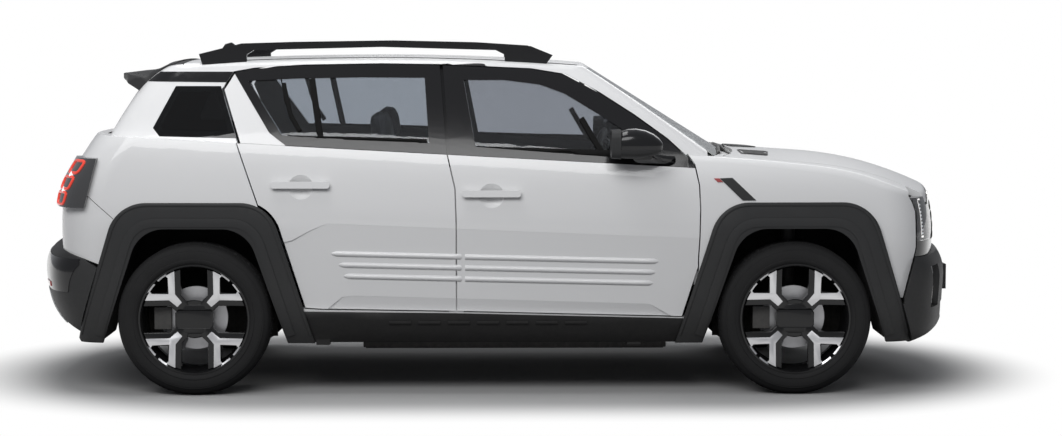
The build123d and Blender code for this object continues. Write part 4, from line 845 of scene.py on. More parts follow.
def cut_below(first, second):
    """Cuts away what lies below a line through two (x, z) points."""
    (x1, z1), (x2, z2) = first, second
    along = Vector((x2 - x1, 0, z2 - z1)).normalized()
    down = Vector((along.z, 0, -along.x))
    if down.z > 0:
        down = -down
    return Vector((x1, 0, z1)), down


def cut_behind(first, second):
    """Cuts away what lies behind (towards -X of) a line through two (x, z) points."""
    point, direction = cut_below(first, second)
    if direction.x > 0:
        direction = -direction
    return point, direction


# %% Door mouldings, roof-side strip and quarter pillar
BELT = ((0.0, 1.0396), (1.0, 0.9853))
REAR_EDGE = [(-1.135, 1.362), (-0.996, 1.144), (-0.923, 1.090), (-0.840, 1.0852)]
front_frame = skin_patch(["front_door_right"], [cut_below(*BELT)])
add_pair("front_window_moulding", front_frame, [GLOSS], "front_door_SIDE", "gloss_black", angle=20)
rear_cuts = [cut_below(*BELT)] + [cut_behind(a, b) for a, b in zip(REAR_EDGE, REAR_EDGE[1:-1])]
rear_cuts.append(cut_below(REAR_EDGE[2], REAR_EDGE[3]))
rear_frame = skin_patch(["rear_door_right"], rear_cuts)
add_pair("rear_window_moulding", rear_frame, [GLOSS], "rear_door_SIDE", "gloss_black", angle=20)
strip_cuts = [cut_below((-1.5545, 1.366), (-1.139, 1.3616)),
              (Vector((-1.45, 0, 1.4085)), Vector((0, 0, 1))),
              (Vector((-1.139, 0, 1.3616)), Vector((0.90, 0, 0.43))),
              (Vector((-1.5545, 0, 1.366)), Vector((-0.66, 0, 0.75)))]
quarter_strip = skin_patch(["body_side_right"], strip_cuts)
add_pair("quarter_moulding", quarter_strip, [GLOSS], "body", "gloss_black", angle=20)
print("mouldings", [len(piece.data.polygons) for piece in made[-6:]])

# %% [markdown]
# ## Pressed ribs on the doors
# Low on each side, three long ribs are pressed into the doors. A rib in sheet metal is a smooth swelling, so
# each is a narrow grid laid on the door skin and raised in a rounded section that dies away at both ends.

# %% The ribs
RIBS = (((-0.722, 0.622), (0.707, 0.587)), ((-0.690, 0.573), (0.694, 0.539)),
        ((-0.669, 0.523), (0.685, 0.491)))
RIB_HALF = 0.0130
RIB_HIGH = 0.0085
RIB_SINK = 0.0007
DOOR_GAP = {"rear": (-9.0, -0.158), "front": (-0.138, 9.0)}
RIB_ACROSS = 10


def rib_solid(tree, start, end, low_x, high_x):
    """The rib with a thin wall behind it, so that it is closed."""
    (x1, z1), (x2, z2) = start, end
    first, last = max(x1, low_x), min(x2, high_x)
    steps = max(6, int((last - first) / 0.022))
    rings = []
    for row in range(steps + 1):
        x = first + (last - first) * row / steps
        middle = z1 + (z2 - z1) * (x - x1) / (x2 - x1)
        fade = max(0.0, min(1.0, (x - x1) / 0.035, (x2 - x) / 0.035))
        fade = math.sqrt(max(0.0, 1 - (1 - fade) ** 2))
        ring = []
        for column in range(RIB_ACROSS + 1):
            across = (column / RIB_ACROSS - 0.5) * 2
            swell = RIB_HIGH * max(0.0, math.cos(across * math.pi / 2)) ** 0.75 * fade - RIB_SINK
            ring.append(touch(tree, x, middle + across * RIB_HALF * (0.35 + 0.65 * fade), swell))
        ring.append(ring[-1] + Vector((0, 0.003, 0)))
        ring.append(ring[0] + Vector((0, 0.003, 0)))
        rings.append(ring)
    return swept(rings)


for door, (low_x, high_x) in DOOR_GAP.items():
    tree = surface_of(door + "_door_right")
    ribs = bmesh.new()
    for start, end in RIBS:
        join(ribs, rib_solid(tree, start, end, low_x, high_x))
    add_pair(door + "_door_ribs", ribs, [WHITE], door + "_door_SIDE", "white_paint", angle=50)
print("rib pieces", [piece.name for piece in made[-4:]])

# %% [markdown]
# ## Where the paint stops
# A door is painted outside and trimmed inside, and its frame is black above the belt even in the shut, where
# paint would flash between two black mouldings. The body's pillar seen in the gap between the doors is
# painted gloss black as painted shade. The roof's underside carries the headliner.

# %% Inner faces, black door frames and painted shade in the door gap
INSIDE = 0.25
for side, outward in (("right", -1), ("left", 1)):
    for door in ("front_door_", "rear_door_"):
        paint_faces(door + side, GLOSS,
                    lambda c, n: c.z > 1.055 - 0.0543 * c.x and abs(n.y) < 0.75 and c.x > -0.95)
        paint_faces(door + side, GLOSS,
                    lambda c, n: c.z > 0.96 and (n.z > 0.97 or n.x > 0.5) and abs(c.y) < 0.87)
        paint_faces(door + side, CABIN, lambda c, n, o=outward: n.y * o < -INSIDE)
    paint_faces("body_side_" + side, CABIN, lambda c, n, o=outward: n.y * o < -INSIDE and c.z > 0.35)
    # Painted shade: the pillar between the doors, seen only through the narrow gap, is painted gloss black.
    paint_faces("body_side_" + side, GLOSS, lambda c, n: -0.30 < c.x < -0.05 and 1.0 < c.z < 1.443)
paint_faces("roof_panel", CABIN_PALE, lambda c, n: n.z < -0.2)
paint_faces("tailgate", CABIN, lambda c, n: n.x > 0.3)
paint_faces("hood", CLAD, lambda c, n: n.z < -0.3)
print("painted inner faces")

# %% [markdown]
# ## Door mirrors
# The mirror is a domed cap over a plain lower shell, with a gloss band where they meet and a darker rim round
# the glass. It is built from rings across the car, joined into one skin.

# %% The mirror's cap, rim, band, lower shell, foot and glass
MIRROR_MID_Y = -0.921
MIRROR_HALF = 0.086
CAP_BASE = 1.096
CAP_STATIONS = [(0.5335, 0.985, 0.060), (0.540, 1.0, 0.0665), (0.565, 0.995, 0.0725), (0.600, 0.97, 0.0735),
                (0.640, 0.91, 0.066), (0.675, 0.81, 0.051), (0.700, 0.68, 0.032), (0.7125, 0.54, 0.016),
                (0.7160, 0.40, 0.006)]


def mirror_cap():
    return swept([dome_ring(x, MIRROR_MID_Y, MIRROR_HALF * wide, CAP_BASE, high)
                  for x, wide, high in CAP_STATIONS])


def mirror_band():
    rings = []
    for x, wide, _ in CAP_STATIONS:
        half = MIRROR_HALF * wide - 0.003
        rings.append([Vector((x - 0.001, MIRROR_MID_Y + sign * half, z))
                      for sign, z in ((-1, 1.0975), (1, 1.0975), (1, 1.078), (-1, 1.078))])
    return swept(rings)


def mirror_lower():
    """The lower shell narrows to the front, where the foot leaves it."""
    rings = []
    for x, wide, deep in [(0.5335, 0.97, 0.038), (0.56, 0.98, 0.041), (0.60, 0.95, 0.041),
                          (0.65, 0.87, 0.036), (0.69, 0.72, 0.026), (0.709, 0.52, 0.010)]:
        ring = dome_ring(x, MIRROR_MID_Y, MIRROR_HALF * wide, 0, deep, squareness=0.8)
        rings.append([Vector((p.x, p.y, 1.079 - p.z)) for p in ring])
    return swept(rings)


def mirror_rim():
    """A shallow surround whose rear face is sunk to hold the glass."""
    bm = bmesh.new()
    add_box(bm, (0.494, MIRROR_MID_Y - MIRROR_HALF, 1.038), (0.534, MIRROR_MID_Y + MIRROR_HALF, 1.164))
    upright = [edge for edge in bm.edges if abs(edge.verts[0].co.x - edge.verts[1].co.x) > 0.02]
    bmesh.ops.bevel(bm, geom=upright, offset=0.036, segments=6, profile=0.5, affect="EDGES", material=-1)
    rear = min(bm.faces, key=lambda face: face.calc_center_median().x)
    for vert in rear.verts:
        vert.co.y = MIRROR_MID_Y + (vert.co.y - MIRROR_MID_Y) * 0.965
        vert.co.z = 1.101 + (vert.co.z - 1.101) * 0.965
    bmesh.ops.inset_region(bm, faces=[rear], thickness=0.006, depth=0.0)
    bmesh.ops.inset_region(bm, faces=[rear], thickness=0.001, depth=-0.008)
    rear.material_index = 1
    return faced_out(bm)


def mirror_foot():
    """The arm from the lower shell in to the door's corner, thinner in the middle."""
    rings = []
    for y, x_low, x_high, z_low, z_high in [(-0.935, 0.585, 0.672, 1.034, 1.066),
                                            (-0.900, 0.590, 0.690, 1.024, 1.062),
                                            (-0.865, 0.612, 0.722, 1.014, 1.052),
                                            (-0.835, 0.640, 0.758, 1.008, 1.046),
                                            (-0.812, 0.655, 0.782, 1.005, 1.044)]:
        outline = round_corners([(x_low, z_low), (x_high, z_low), (x_high, z_high), (x_low, z_high)], 0.012,
                                3)
        rings.append([Vector((p.x, y, p.y)) for p in outline])
    return swept(rings)


MIRROR_GLASS = finish("mirror_glass", (0.72, 0.74, 0.76), 0.03, metallic=1.0, tone=0.02)
rider = "front_door_SIDE"
caps = add_pair("mirror_cap", mirror_cap(), [GLOSS], rider, "gloss_black", angle=45)
for piece, side in zip(caps, ("right", "left")):
    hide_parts("side_mirror_" + side)
add_pair("mirror_band", mirror_band(), [GLOSS], rider, "gloss_black", angle=30)
add_pair("mirror_lower", mirror_lower(), [CLAD], rider, "black_plastic", angle=45)
add_pair("mirror_rim", mirror_rim(), [CLAD, MIRROR_GLASS], rider, "black_plastic", angle=35)
add_pair("mirror_foot", mirror_foot(), [GLOSS], rider, "gloss_black", angle=40)
print("mirror pieces", 5)

# %% [markdown]
# ## Glass seals and dividers
# A rubber-faced seal runs along the belt under each window, and the rear door's glass is split by an upright
# divider that the fixed pane stands behind. All are strips laid on the glass itself.

# %% Belt seals and the rear window's dividers
pane_front = view_on(surface_of("front_door_glass_right"), (0, -0.9, 0), (1, 0, 0), (0, 0, 1), (0, 1, 0))
pane_rear = view_on(surface_of("rear_door_glass_right"), (0, -0.9, 0), (1, 0, 0), (0, 0, 1), (0, 1, 0))
SEAL = finish("window_seal", (0.010, 0.010, 0.010), 0.85, tone=0.15, grain=0.3, specular=0.10)
front_seal = strip_on(pane_front, [(-0.130, 1.069), (0.30, 1.057), (0.690, 1.046)], 0.0165, 0.006, 0.003,
                      crown=0.004)
add_pair("front_belt_seal", front_seal, [SEAL], "front_door_SIDE", "gloss_black", angle=50)
rear_seal = strip_on(pane_rear, [(-0.925, 1.117), (-0.60, 1.110), (-0.305, 1.101)], 0.014, 0.006, 0.003,
                     crown=0.004)
add_pair("rear_belt_seal", rear_seal, [SEAL], "rear_door_SIDE", "gloss_black", angle=50)
dividers = strip_on(pane_rear, [(-0.815, 1.375), (-0.770, 1.120)], 0.014, 0.007, 0.003, crown=0.003)
join(dividers,
     strip_on(pane_rear, [(-0.945, 1.375), (-0.905, 1.22), (-0.862, 1.15)], 0.010, 0.007, 0.003,
              crown=0.003))
add_pair("rear_window_dividers", dividers, [SEAL], "rear_door_SIDE", "gloss_black", angle=50)
quarter_bar = strip_on(pane_front, [(0.372, 1.205), (0.455, 1.065)], 0.012, 0.005, 0.003, crown=0.003)
add_pair("front_window_divider", quarter_bar, [SEAL], "front_door_SIDE", "gloss_black", angle=50)
print("seals and dividers", 4)

# %% [markdown]
# ## Tail lamps
# Behind a smoked cover sit three stacked red loops joined by short white links. The loops are strips laid
# round the rounded corner of the lamp, so they show from the side and from behind.

# %% Smoked covers, red loops, white links
SMOKED = finish("smoked_cover", (0.045, 0.045, 0.047), 0.14, coat=1.0, tone=0.05)


def glow(name, colour, strength, shell=(0.5, 0.5, 0.5)):
    """A lit lamp part: a coloured plastic that also shines a little."""
    material = finish(name, shell, 0.25, coat=0.6, tone=0.04, grain=0.05)
    shader = material.node_tree.nodes["Principled BSDF"]
    shader.inputs["Emission Color"].default_value = (*colour, 1)
    shader.inputs["Emission Strength"].default_value = strength
    return material


RED_GLOW = glow("red_loop", (0.9, 0.06, 0.03), 0.45, (0.62, 0.05, 0.03))
WHITE_GLOW = glow("white_link", (1.0, 0.97, 0.94), 0.65, (0.85, 0.85, 0.85))
nodes["tail_lamps"].data.materials.clear()
nodes["tail_lamps"].data.materials.append(SMOKED)
corner = view_on(surface_of("tail_lamps"), (-1.90, -0.775, 0.93), (0.40, -0.9165, 0), (0, 0, 1),
                 (0.9165, 0.40, 0))
loops, links = bmesh.new(), bmesh.new()
for level, (shift, mid) in enumerate(((0.020, 0.066), (0.0, -0.003), (-0.018, -0.070))):
    half_wide, half_high = 0.052, 0.026
    outline = round_corners([(shift - half_wide, mid - half_high),
                             (shift + half_wide - 0.006, mid - half_high),
                             (shift + half_wide + 0.006, mid + half_high),
                             (shift - half_wide, mid + half_high)], 0.018)
    join(loops, strip_on(corner, outline, 0.0052, 0.005, 0.003, closed=True, crown=0.002, step=0.008))
    if level:
        join(links,
             strip_on(corner,
                      [(shift + 0.016, mid + half_high + 0.002), (shift + 0.022, mid + half_high + 0.018)],
                      0.012, 0.006, 0.003, crown=0.002, step=0.006))
add_pair("tail_lamp_loops", loops, [RED_GLOW], "body", "lamp_red", angle=50)
add_pair("tail_lamp_links", links, [WHITE_GLOW], "body", "lamp_clear", angle=50)
print("tail lamp loops", 3)

# %% [markdown]
# ## Headlamps
# The lamp is a clear cover over a dark bezel. Light strips run down its rear edge and along its foot, and a
# patch of small square lights fills the middle. The bezel is the lamp's own shape drawn in a little.

# %% Bezel, strips and light cells
bezel = bmesh.new()
bezel.from_mesh(nodes["headlamps"].data)
bmesh.ops.remove_doubles(bezel, verts=bezel.verts, dist=1e-5)
bezel.normal_update()
for vert in bezel.verts:
    vert.co -= vert.normal * 0.006
bmesh.ops.recalc_face_normals(bezel, faces=bezel.faces)
BEZEL = finish("lamp_bezel", (0.05, 0.05, 0.055), 0.3, tone=0.1, grain=0.1)
bezel_mesh = bpy.data.meshes.new("bezel_search")
bezel.to_mesh(bezel_mesh)
bezel_tree = BVHTree.FromPolygons([vertex.co.copy() for vertex in bezel_mesh.vertices],
                                  [list(polygon.vertices) for polygon in bezel_mesh.polygons])
bpy.data.meshes.remove(bezel_mesh)
add_piece("headlamp_bezels", bezel, [BEZEL], "body", "lamp_clear", angle=25)
flank = view_on(bezel_tree, (1.89, -0.80, 0.765), (0.80, -0.60, 0), (0, 0, 1), (-0.60, 0.80, 0))
strips, cells = bmesh.new(), bmesh.new()
join(strips,
     strip_on(flank, [(-0.046, 0.078), (-0.030, 0.030), (-0.044, -0.070)], 0.0042, 0.003, 0.002,
              crown=0.001, step=0.012))
join(strips,
     strip_on(flank, [(-0.040, -0.078), (0.030, -0.078)], 0.0042, 0.003, 0.002, crown=0.001, step=0.012))
join(strips,
     strip_on(flank, [(-0.040, 0.083), (0.035, 0.083)], 0.0035, 0.003, 0.002, crown=0.001, step=0.012))
for row in range(9):
    for column in range(4):
        s = -0.022 + column * 0.0125 + (0.004 if row > 4 else 0.0)
        t = 0.060 - row * 0.0155
        join(cells, strip_on(flank, [(s - 0.0032, t), (s + 0.0032, t)], 0.0036, 0.002, 0.002, step=0.01))
add_pair("headlamp_strips", strips, [WHITE_GLOW], "body", "lamp_clear", angle=50)
CELL = glow("light_cell", (0.9, 0.95, 1.0), 0.25, (0.6, 0.62, 0.65))
add_pair("headlamp_cells", cells, [CELL], "body", "lamp_clear", angle=50)
print("headlamp cells", 36)

# %% [markdown]
# ## Fender flashes, sill grips and plates
# A slanted black flash lies on each front fender, with a small coloured end. The sills carry a row of moulded
# grips. The plate places hold plain plates, with nothing on them.

# %% Flashes
def quad_cuts(corners):
    """Cuts round a convex (x, z) outline given in order."""
    middle = sum((Vector(c) for c in corners), Vector((0, 0))) / len(corners)
    cuts = []
    for a, b in zip(corners, corners[1:] + corners[:1]):
        normal = Vector((b[1] - a[1], -(b[0] - a[0])))
        if normal.dot(Vector(a) - middle) < 0:
            normal = -normal
        cuts.append((Vector((a[0], 0, a[1])), Vector((normal.x, 0, normal.y)).normalized()))
    return cuts


FLASH_RED = finish("flash_red", (0.35, 0.03, 0.03), 0.35, coat=0.6, tone=0.05)
FLASH = [(0.972, 0.9478), (1.0265, 0.9499), (1.1289, 0.8530), (1.0705, 0.8530)]
FLASH_END = [(0.9458, 0.9478), (0.969, 0.9480), (0.985, 0.932), (0.962, 0.932)]
add_pair("fender_flash", skin_patch(["front_fender_right"], quad_cuts(FLASH), 0.004, 0.0045), [CLAD], "body",
         "black_plastic", angle=20)
add_pair("fender_flash_end", skin_patch(["front_fender_right"], quad_cuts(FLASH_END), 0.004, 0.0045),
         [FLASH_RED], "body", "black_plastic", angle=20)

# %% Sill grips
sill = view_on(surface_of("sill_trims"), (0, -0.9, 0), (1, 0, 0), (0, 0, 1), (0, 1, 0))
grips = bmesh.new()
for index in range(7):
    start = -0.47 + index * 0.128
    join(grips, strip_on(sill, [(start, 0.318), (start + 0.095, 0.318)], 0.008, 0.004, 0.002, crown=0.002))
add_pair("sill_grips", grips, [SILL], "body", "black_plastic", angle=40)


# %% Plates
def plate(x, z, outward):
    bm = bmesh.new()
    low_x, high_x = sorted((x - outward * 0.004, x - outward * 0.0004))
    add_box(bm, (low_x, -0.257, z - 0.0555), (high_x, 0.257, z + 0.0555), 0.0012, 2)
    face = max(bm.faces, key=lambda f: f.calc_area() * (1 if f.normal.x * outward > 0.9 else 0))
    bmesh.ops.inset_region(bm, faces=[face], thickness=0.006, depth=0.0)
    bmesh.ops.inset_region(bm, faces=[face], thickness=0.001, depth=-0.0008)
    return faced_out(bm)


add_piece("rear_plate", plate(-1.994, 0.799, -1), [PLATE], "tailgate", "white_paint", angle=30)
add_piece("front_plate", plate(2.0762, 0.459, 1), [PLATE], "body", "white_paint", angle=30)
print("pieces so far", len(made))

# %% [markdown]
# ## Wheel arch lips
# The moulded arches have a broad outer band, a dark step and a raised inner lip. The lip is a strip that
# follows the opening: two straight flanks, a flat crown and round shoulders.

# %% Arch lips
def arch_path(x, base, top, height, corner, z_low):
    """A wheel arch in side view: straight flanks and a flat crown with round shoulders."""
    spread = (base - top) / height
    foot = base + spread * (WHEEL_Z - z_low)
    shoulders = [Vector((x - foot, z_low)), Vector((x - top, WHEEL_Z + height)),
                 Vector((x + top, WHEEL_Z + height)), Vector((x + foot, z_low))]
    path = [shoulders[0]]
    for index in (1, 2):
        here = shoulders[index]
        first = here + (shoulders[index - 1] - here).normalized() * corner
        last = here + (shoulders[index + 1] - here).normalized() * corner
        path += [first.lerp(here, i / 8).lerp(here.lerp(last, i / 8), i / 8) for i in range(9)]
    return path + [shoulders[3]]


ARCH_INNER = (0.397, 0.262, 0.425, 0.105)
ARCH_OUTER = (0.4805, 0.3195, 0.501, 0.125)
trim = view_on(surface_of("wheel_arch_trims"), (0, -0.9, 0), (1, 0, 0), (0, 0, 1), (0, 1, 0))
for end, x in AXLE_X.items():
    lip = strip_on(trim, arch_path(x, *ARCH_INNER, 0.262), 0.0185, 0.0045, 0.002, crown=0.0012, step=0.03)
    add_pair("arch_lip_" + end, lip, [CLAD], "body", "black_plastic", angle=40)
    edge = strip_on(trim, arch_path(x, *ARCH_OUTER, 0.262), 0.006, 0.0025, 0.002, crown=0.002, step=0.03)
    add_pair("arch_edge_" + end, edge, [CLAD], "body", "black_plastic", angle=40)
print("arch lips", 8)

# %% [markdown]
# ## The nose
# Between the lamps is a closed gloss panel with rows of small slanted facets. The bumper below has a barred
# intake, an upright blade in each corner slot, and a pale skid plate under its lip.

# %% Facets, intake bars, corner blades and skid plate
nose = view_on(surface_of("front_panel"), (2.0, 0, 0.0), (0, 1, 0), (0, 0, 1), (-1, 0, 0))
facets = bmesh.new()
for row in range(4):
    for column in range(14):
        s = -0.546 + column * 0.084 + (0.018 if row % 2 else 0.0)
        if abs(s) < 0.60:
            join(facets, strip_on(nose, [(s - 0.020, 0.668 + row * 0.044), (s + 0.020, 0.680 + row * 0.044)],
                                  0.0085, 0.002, 0.002, crown=0.002, step=0.05))
add_piece("nose_facets", facets, [GLOSS], "body", "gloss_black", angle=30)
brow = strip_on(nose, [(-0.60, 0.858), (0.60, 0.858)], 0.006, 0.003, 0.002, crown=0.002, step=0.05)
add_piece("nose_light_bar", brow, [WHITE_GLOW], "body", "lamp_clear", angle=40)
chin = view_on(surface_of("front_bumper"), (2.0, 0, 0.0), (0, 1, 0), (0, 0, 1), (-1, 0, 0))
bars = bmesh.new()
for z in (0.305, 0.331, 0.357):
    join(bars, strip_on(chin, [(-0.515, z), (0.515, z)], 0.0045, 0.015, 0.002, crown=0.002, step=0.04))
for index in range(9):
    s = -0.46 + index * 0.115
    join(bars, strip_on(chin, [(s, 0.294), (s, 0.368)], 0.003, 0.011, 0.002, crown=0.001, step=0.02))
add_piece("intake_bars", bars, [GLOSS], "body", "gloss_black", angle=40)
blade = strip_on(chin, [(-0.700, 0.385), (-0.716, 0.470), (-0.700, 0.545)], 0.010, 0.014, 0.002, crown=0.003)
add_pair("corner_blade", blade, [SKID], "body", "black_plastic", angle=40)
lamp_spot = strip_on(chin, [(-0.660, 0.400), (-0.660, 0.455)], 0.0125, 0.008, 0.002, crown=0.001)
add_pair("fog_lamp", lamp_spot, [WHITE_GLOW], "body", "lamp_clear", angle=40)
front_skid = skin_patch(["front_bumper"], [(Vector((0, 0.40, 0)), Vector((0, 1, 0.25)).normalized()),
                                           (Vector((0, -0.40, 0)), Vector((0, -1, 0.25)).normalized()),
                                           (Vector((0, 0, 0.277)), Vector((0, 0, 1)))],
                        0.0035, 0.004, facing=(0.94, 0, -0.34), least=0.25)
add_piece("front_skid_plate", front_skid, [SKID], "body", "black_plastic", angle=25)
print("nose pieces", 6)

# %% [markdown]
# ## The tail
# The lower bumper carries a gloss band with a reflector at each end and a pale skid plate below it. Over the
# rear window, the spoiler holds the high brake light, and a single wiper is parked across the glass.

# %% Bumper band, reflectors, skid plate, spoiler, brake light and handle
rump = view_on(surface_of("rear_bumper_lower"), (-2.0, 0, 0.0), (0, -1, 0), (0, 0, 1), (1, 0, 0))
band_cuts = [(Vector((0, 0.735, 0)), Vector((0, 1, -0.2)).normalized()),
             (Vector((0, -0.735, 0)), Vector((0, -1, -0.2)).normalized()),
             (Vector((0, 0, 0.598)), Vector((0, 0, 1))), (Vector((0, 0, 0.452)), Vector((0, 0, -1)))]
add_piece("rear_bumper_band", skin_patch(["rear_bumper_lower"], band_cuts, 0.003, 0.004, facing=(-1, 0, 0)),
          [GLOSS], "body", "gloss_black", angle=25)
skid_cuts = [(Vector((0, 0.60, 0.40)), Vector((0, 1, 0.6)).normalized()),
             (Vector((0, -0.60, 0.40)), Vector((0, -1, 0.6)).normalized()),
             (Vector((0, 0, 0.438)), Vector((0, 0, 1))), (Vector((0, 0, 0.300)), Vector((0, 0, -1)))]
add_piece("rear_skid_plate",
          skin_patch(["rear_bumper_lower"], skid_cuts, 0.0045, 0.005, facing=(-0.94, 0, -0.34), least=0.25),
          [SKID], "body", "black_plastic", angle=25)
reflector = strip_on(rump, [(0.56, 0.475), (0.68, 0.475)], 0.0105, 0.007, 0.002, crown=0.001)
add_pair("rear_reflector", reflector, [finish("reflector_red", (0.45, 0.03, 0.02), 0.15, coat=1.0, tone=0.05,
                                              grain=0.3, grain_scale=500)], "body", "lamp_red", angle=40)
spoiler_skin = bmesh.new()
spoiler_skin.from_mesh(nodes["spoiler"].data)
bmesh.ops.remove_doubles(spoiler_skin, verts=spoiler_skin.verts, dist=1e-5)
for share in range(1, 16):
    for point, direction in (((0, -0.555 + share * 0.0694, 0), (0, 1, 0)),
                             ((-1.665 + share * 0.0155, 0, 0), (1, 0, 0))):
        everything = list(spoiler_skin.verts) + list(spoiler_skin.edges) + list(spoiler_skin.faces)
        bmesh.ops.bisect_plane(spoiler_skin, geom=everything, plane_co=point, plane_no=direction)
bmesh.ops.triangulate(spoiler_skin, faces=spoiler_skin.faces)
hatch_top = surface_of("tailgate", "roof_panel", "body_side_right", "body_side_left")
spoiler_top = surface_of("spoiler")
# Ahead of ROOF_END nothing stands more than SPOILER_LIFT above the hatch. Behind it top and bottom shift
# down together, less and less over BLADE_FREE, so the free blade keeps its thickness.
SPOILER_LIFT, ROOF_END, BLADE_FREE = 0.006, -1.55, 0.11
for vert in spoiler_skin.verts:
    above = Vector((max(vert.co.x, ROOF_END), vert.co.y * 0.999, 2.0))
    under = hatch_top.ray_cast(above, Vector((0, 0, -1)), 1.0)[0]
    over = spoiler_top.ray_cast(above, Vector((0, 0, -1)), 1.0)[0]
    if under is None or over is None:
        continue
    drop = max(0.0, over.z - under.z - SPOILER_LIFT)
    if vert.co.x > ROOF_END:
        vert.co.z = min(vert.co.z, under.z + SPOILER_LIFT)
    else:
        vert.co.z -= drop * max(0.0, 1.0 - (ROOF_END - vert.co.x) / BLADE_FREE)
bmesh.ops.remove_doubles(spoiler_skin, verts=spoiler_skin.verts, dist=0.0008)
bmesh.ops.dissolve_degenerate(spoiler_skin, dist=0.0008, edges=spoiler_skin.edges)
bmesh.ops.recalc_face_normals(spoiler_skin, faces=spoiler_skin.faces)
paint_faces("tailgate", CLAD, lambda c, n: c.z > 1.365 and n.z > 0.2)
spoiler_piece = add_piece("roof_spoiler", spoiler_skin, [CLAD], "tailgate", "gloss_black", angle=30)
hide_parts("spoiler")
visor = view_on(surface_of("spoiler"), (-1.7, 0, 1.375), (0, 1, 0), (0, 0, 1), (1, 0, 0))
stop_light = strip_on(visor, [(-0.16, 0.008), (0.16, 0.008)], 0.005, 0.003, 0.002, crown=0.001)
add_piece("high_brake_light", stop_light, [RED_GLOW], "tailgate", "lamp_red", angle=40)
latch = view_on(surface_of("tailgate"), (-2.0, 0, 0.0), (0, 1, 0), (0, 0, 1), (1, 0, 0))
handle = strip_on(latch, [(-0.15, 0.905), (0.15, 0.905)], 0.014, 0.009, 0.002, crown=0.004)
add_piece("tailgate_handle", handle, [GLOSS], "tailgate", "gloss_black", angle=40)
plate_lamps = bmesh.new()
for s in (-0.13, 0.13):
    join(plate_lamps,
         strip_on(latch, [(s - 0.03, 0.884), (s + 0.03, 0.884)], 0.005, 0.006, 0.002, crown=0.001))
add_piece("plate_lamps", plate_lamps, [LENS], "tailgate", "lamp_clear", angle=40)
print("tail pieces", 8)


# %% Wipers
def pivot(bm, centre, normal, radius, height):
    """A wiper's pivot cap: a low dome on a short post."""
    turn = Vector((0, 0, 1)).rotation_difference(Vector(normal)).to_matrix().to_4x4()
    place = Matrix.Translation(centre) @ turn
    bmesh.ops.create_cone(bm, cap_ends=True, segments=20, radius1=radius, radius2=radius * 0.82,
                          depth=height * 1.4, matrix=place)
    dome = Matrix.Translation((0, 0, height * 0.7)) @ Matrix.Diagonal((1, 1, 0.55, 1))
    bmesh.ops.create_uvsphere(bm, u_segments=20, v_segments=10, radius=radius * 0.82, matrix=place @ dome)


screen = view_on(surface_of("windscreen"), (0.74, 0, 1.215), (0, 1, 0), (-0.858, 0, 0.512),
                 (-0.512, 0, -0.858))
back_glass = view_on(surface_of("tailgate_glass"), (-1.652, 0, 1.245), (0, 1, 0), (0.64, 0, 0.77),
                     (0.77, 0, -0.64))
WIPER = finish("wiper_black", (0.015, 0.015, 0.015), 0.5, tone=0.1, grain=0.3)
front_wipers = bmesh.new()
for arm, blade_path in (
        ([(-0.50, -0.352), (-0.27, -0.325)], [(-0.60, -0.300), (-0.27, -0.317), (0.02, -0.345)]),
        ([(0.08, -0.372), (0.33, -0.345)], [(0.04, -0.352), (0.33, -0.335), (0.62, -0.292)])):
    pivot(front_wipers, screen(*arm[0], 0.010), (0.3, 0, 0.95), 0.016, 0.016)
    join(front_wipers, strip_on(screen, arm, lambda share: 0.009 - 0.004 * share, 0.020, -0.012, crown=0.004))
    join(front_wipers, strip_on(screen, blade_path, 0.0055, 0.011, 0.001, crown=0.005))
add_piece("front_wipers", front_wipers, [WIPER], "body", "black_plastic", angle=40)
rear_wiper = bmesh.new()
pivot(rear_wiper, back_glass(0.0, -0.150, 0.008), (-0.77, 0, 0.64), 0.021, 0.024)
join(rear_wiper,
     strip_on(back_glass, [(0.0, -0.150), (0.20, -0.125)], lambda share: 0.011 - 0.005 * share, 0.022,
              -0.010, crown=0.004))
join(rear_wiper, strip_on(back_glass, [(-0.02, -0.122), (0.20, -0.117), (0.36, -0.110)], 0.006, 0.011, 0.001,
                          crown=0.004))
add_piece("rear_wiper", rear_wiper, [WIPER], "tailgate", "black_plastic", angle=40)
print("wipers", 3)

# %% [markdown]
# ## Hood vents and the roof
# Two slanted black vents with slats lie near the hood's rear corners. Thin trim strips close the joint on
# each side of the roof.

# %% Hood vents and roof strips
lid = view_on(surface_of("hood"), (0, 0, 1.0), (1, 0, 0), (0, 1, 0), (0, 0, -1))
vents = bmesh.new()
for side in (-1, 1):
    frame_path = round_corners([(1.115, side * 0.20), (1.245, side * 0.24), (1.215, side * 0.50),
                                (1.105, side * 0.47)], 0.02)
    join(vents, strip_on(lid, frame_path, 0.004, 0.003, 0.002, closed=True, crown=0.002, step=0.03))
    for index in range(6):
        y = side * (0.235 + 0.042 * index)
        join(vents, strip_on(lid, [(1.125, y), (1.225, y + side * 0.012)], 0.011, 0.0015, 0.002, crown=0.002))
add_piece("hood_vents", vents, [CLAD], "hood", "black_plastic", angle=30)
roof_top = view_on(surface_of("roof_panel", "body_side_right"), (0, 0, 1.5), (1, 0, 0), (0, 1, 0), (0, 0, -1))
ditch = strip_on(roof_top, [(-1.30, -0.520), (-0.4, -0.520), (0.36, -0.520)], 0.005, 0.0015, 0.002,
                 crown=0.001, step=0.05)
add_pair("roof_joint_strip", ditch, [CLAD], "body", "black_plastic", angle=40)
print("pieces so far", len(made))

# %% [markdown]
# ## Seats
# A car seat is foam under a tight cover. Each pad starts as a rounded block, is remeshed evenly and swells
# under a little pressure as cloth, so it crowns in the middle and pulls in at its corners. The sewn channels
# are pressed in afterwards, because they are narrower than the swelling can hold.

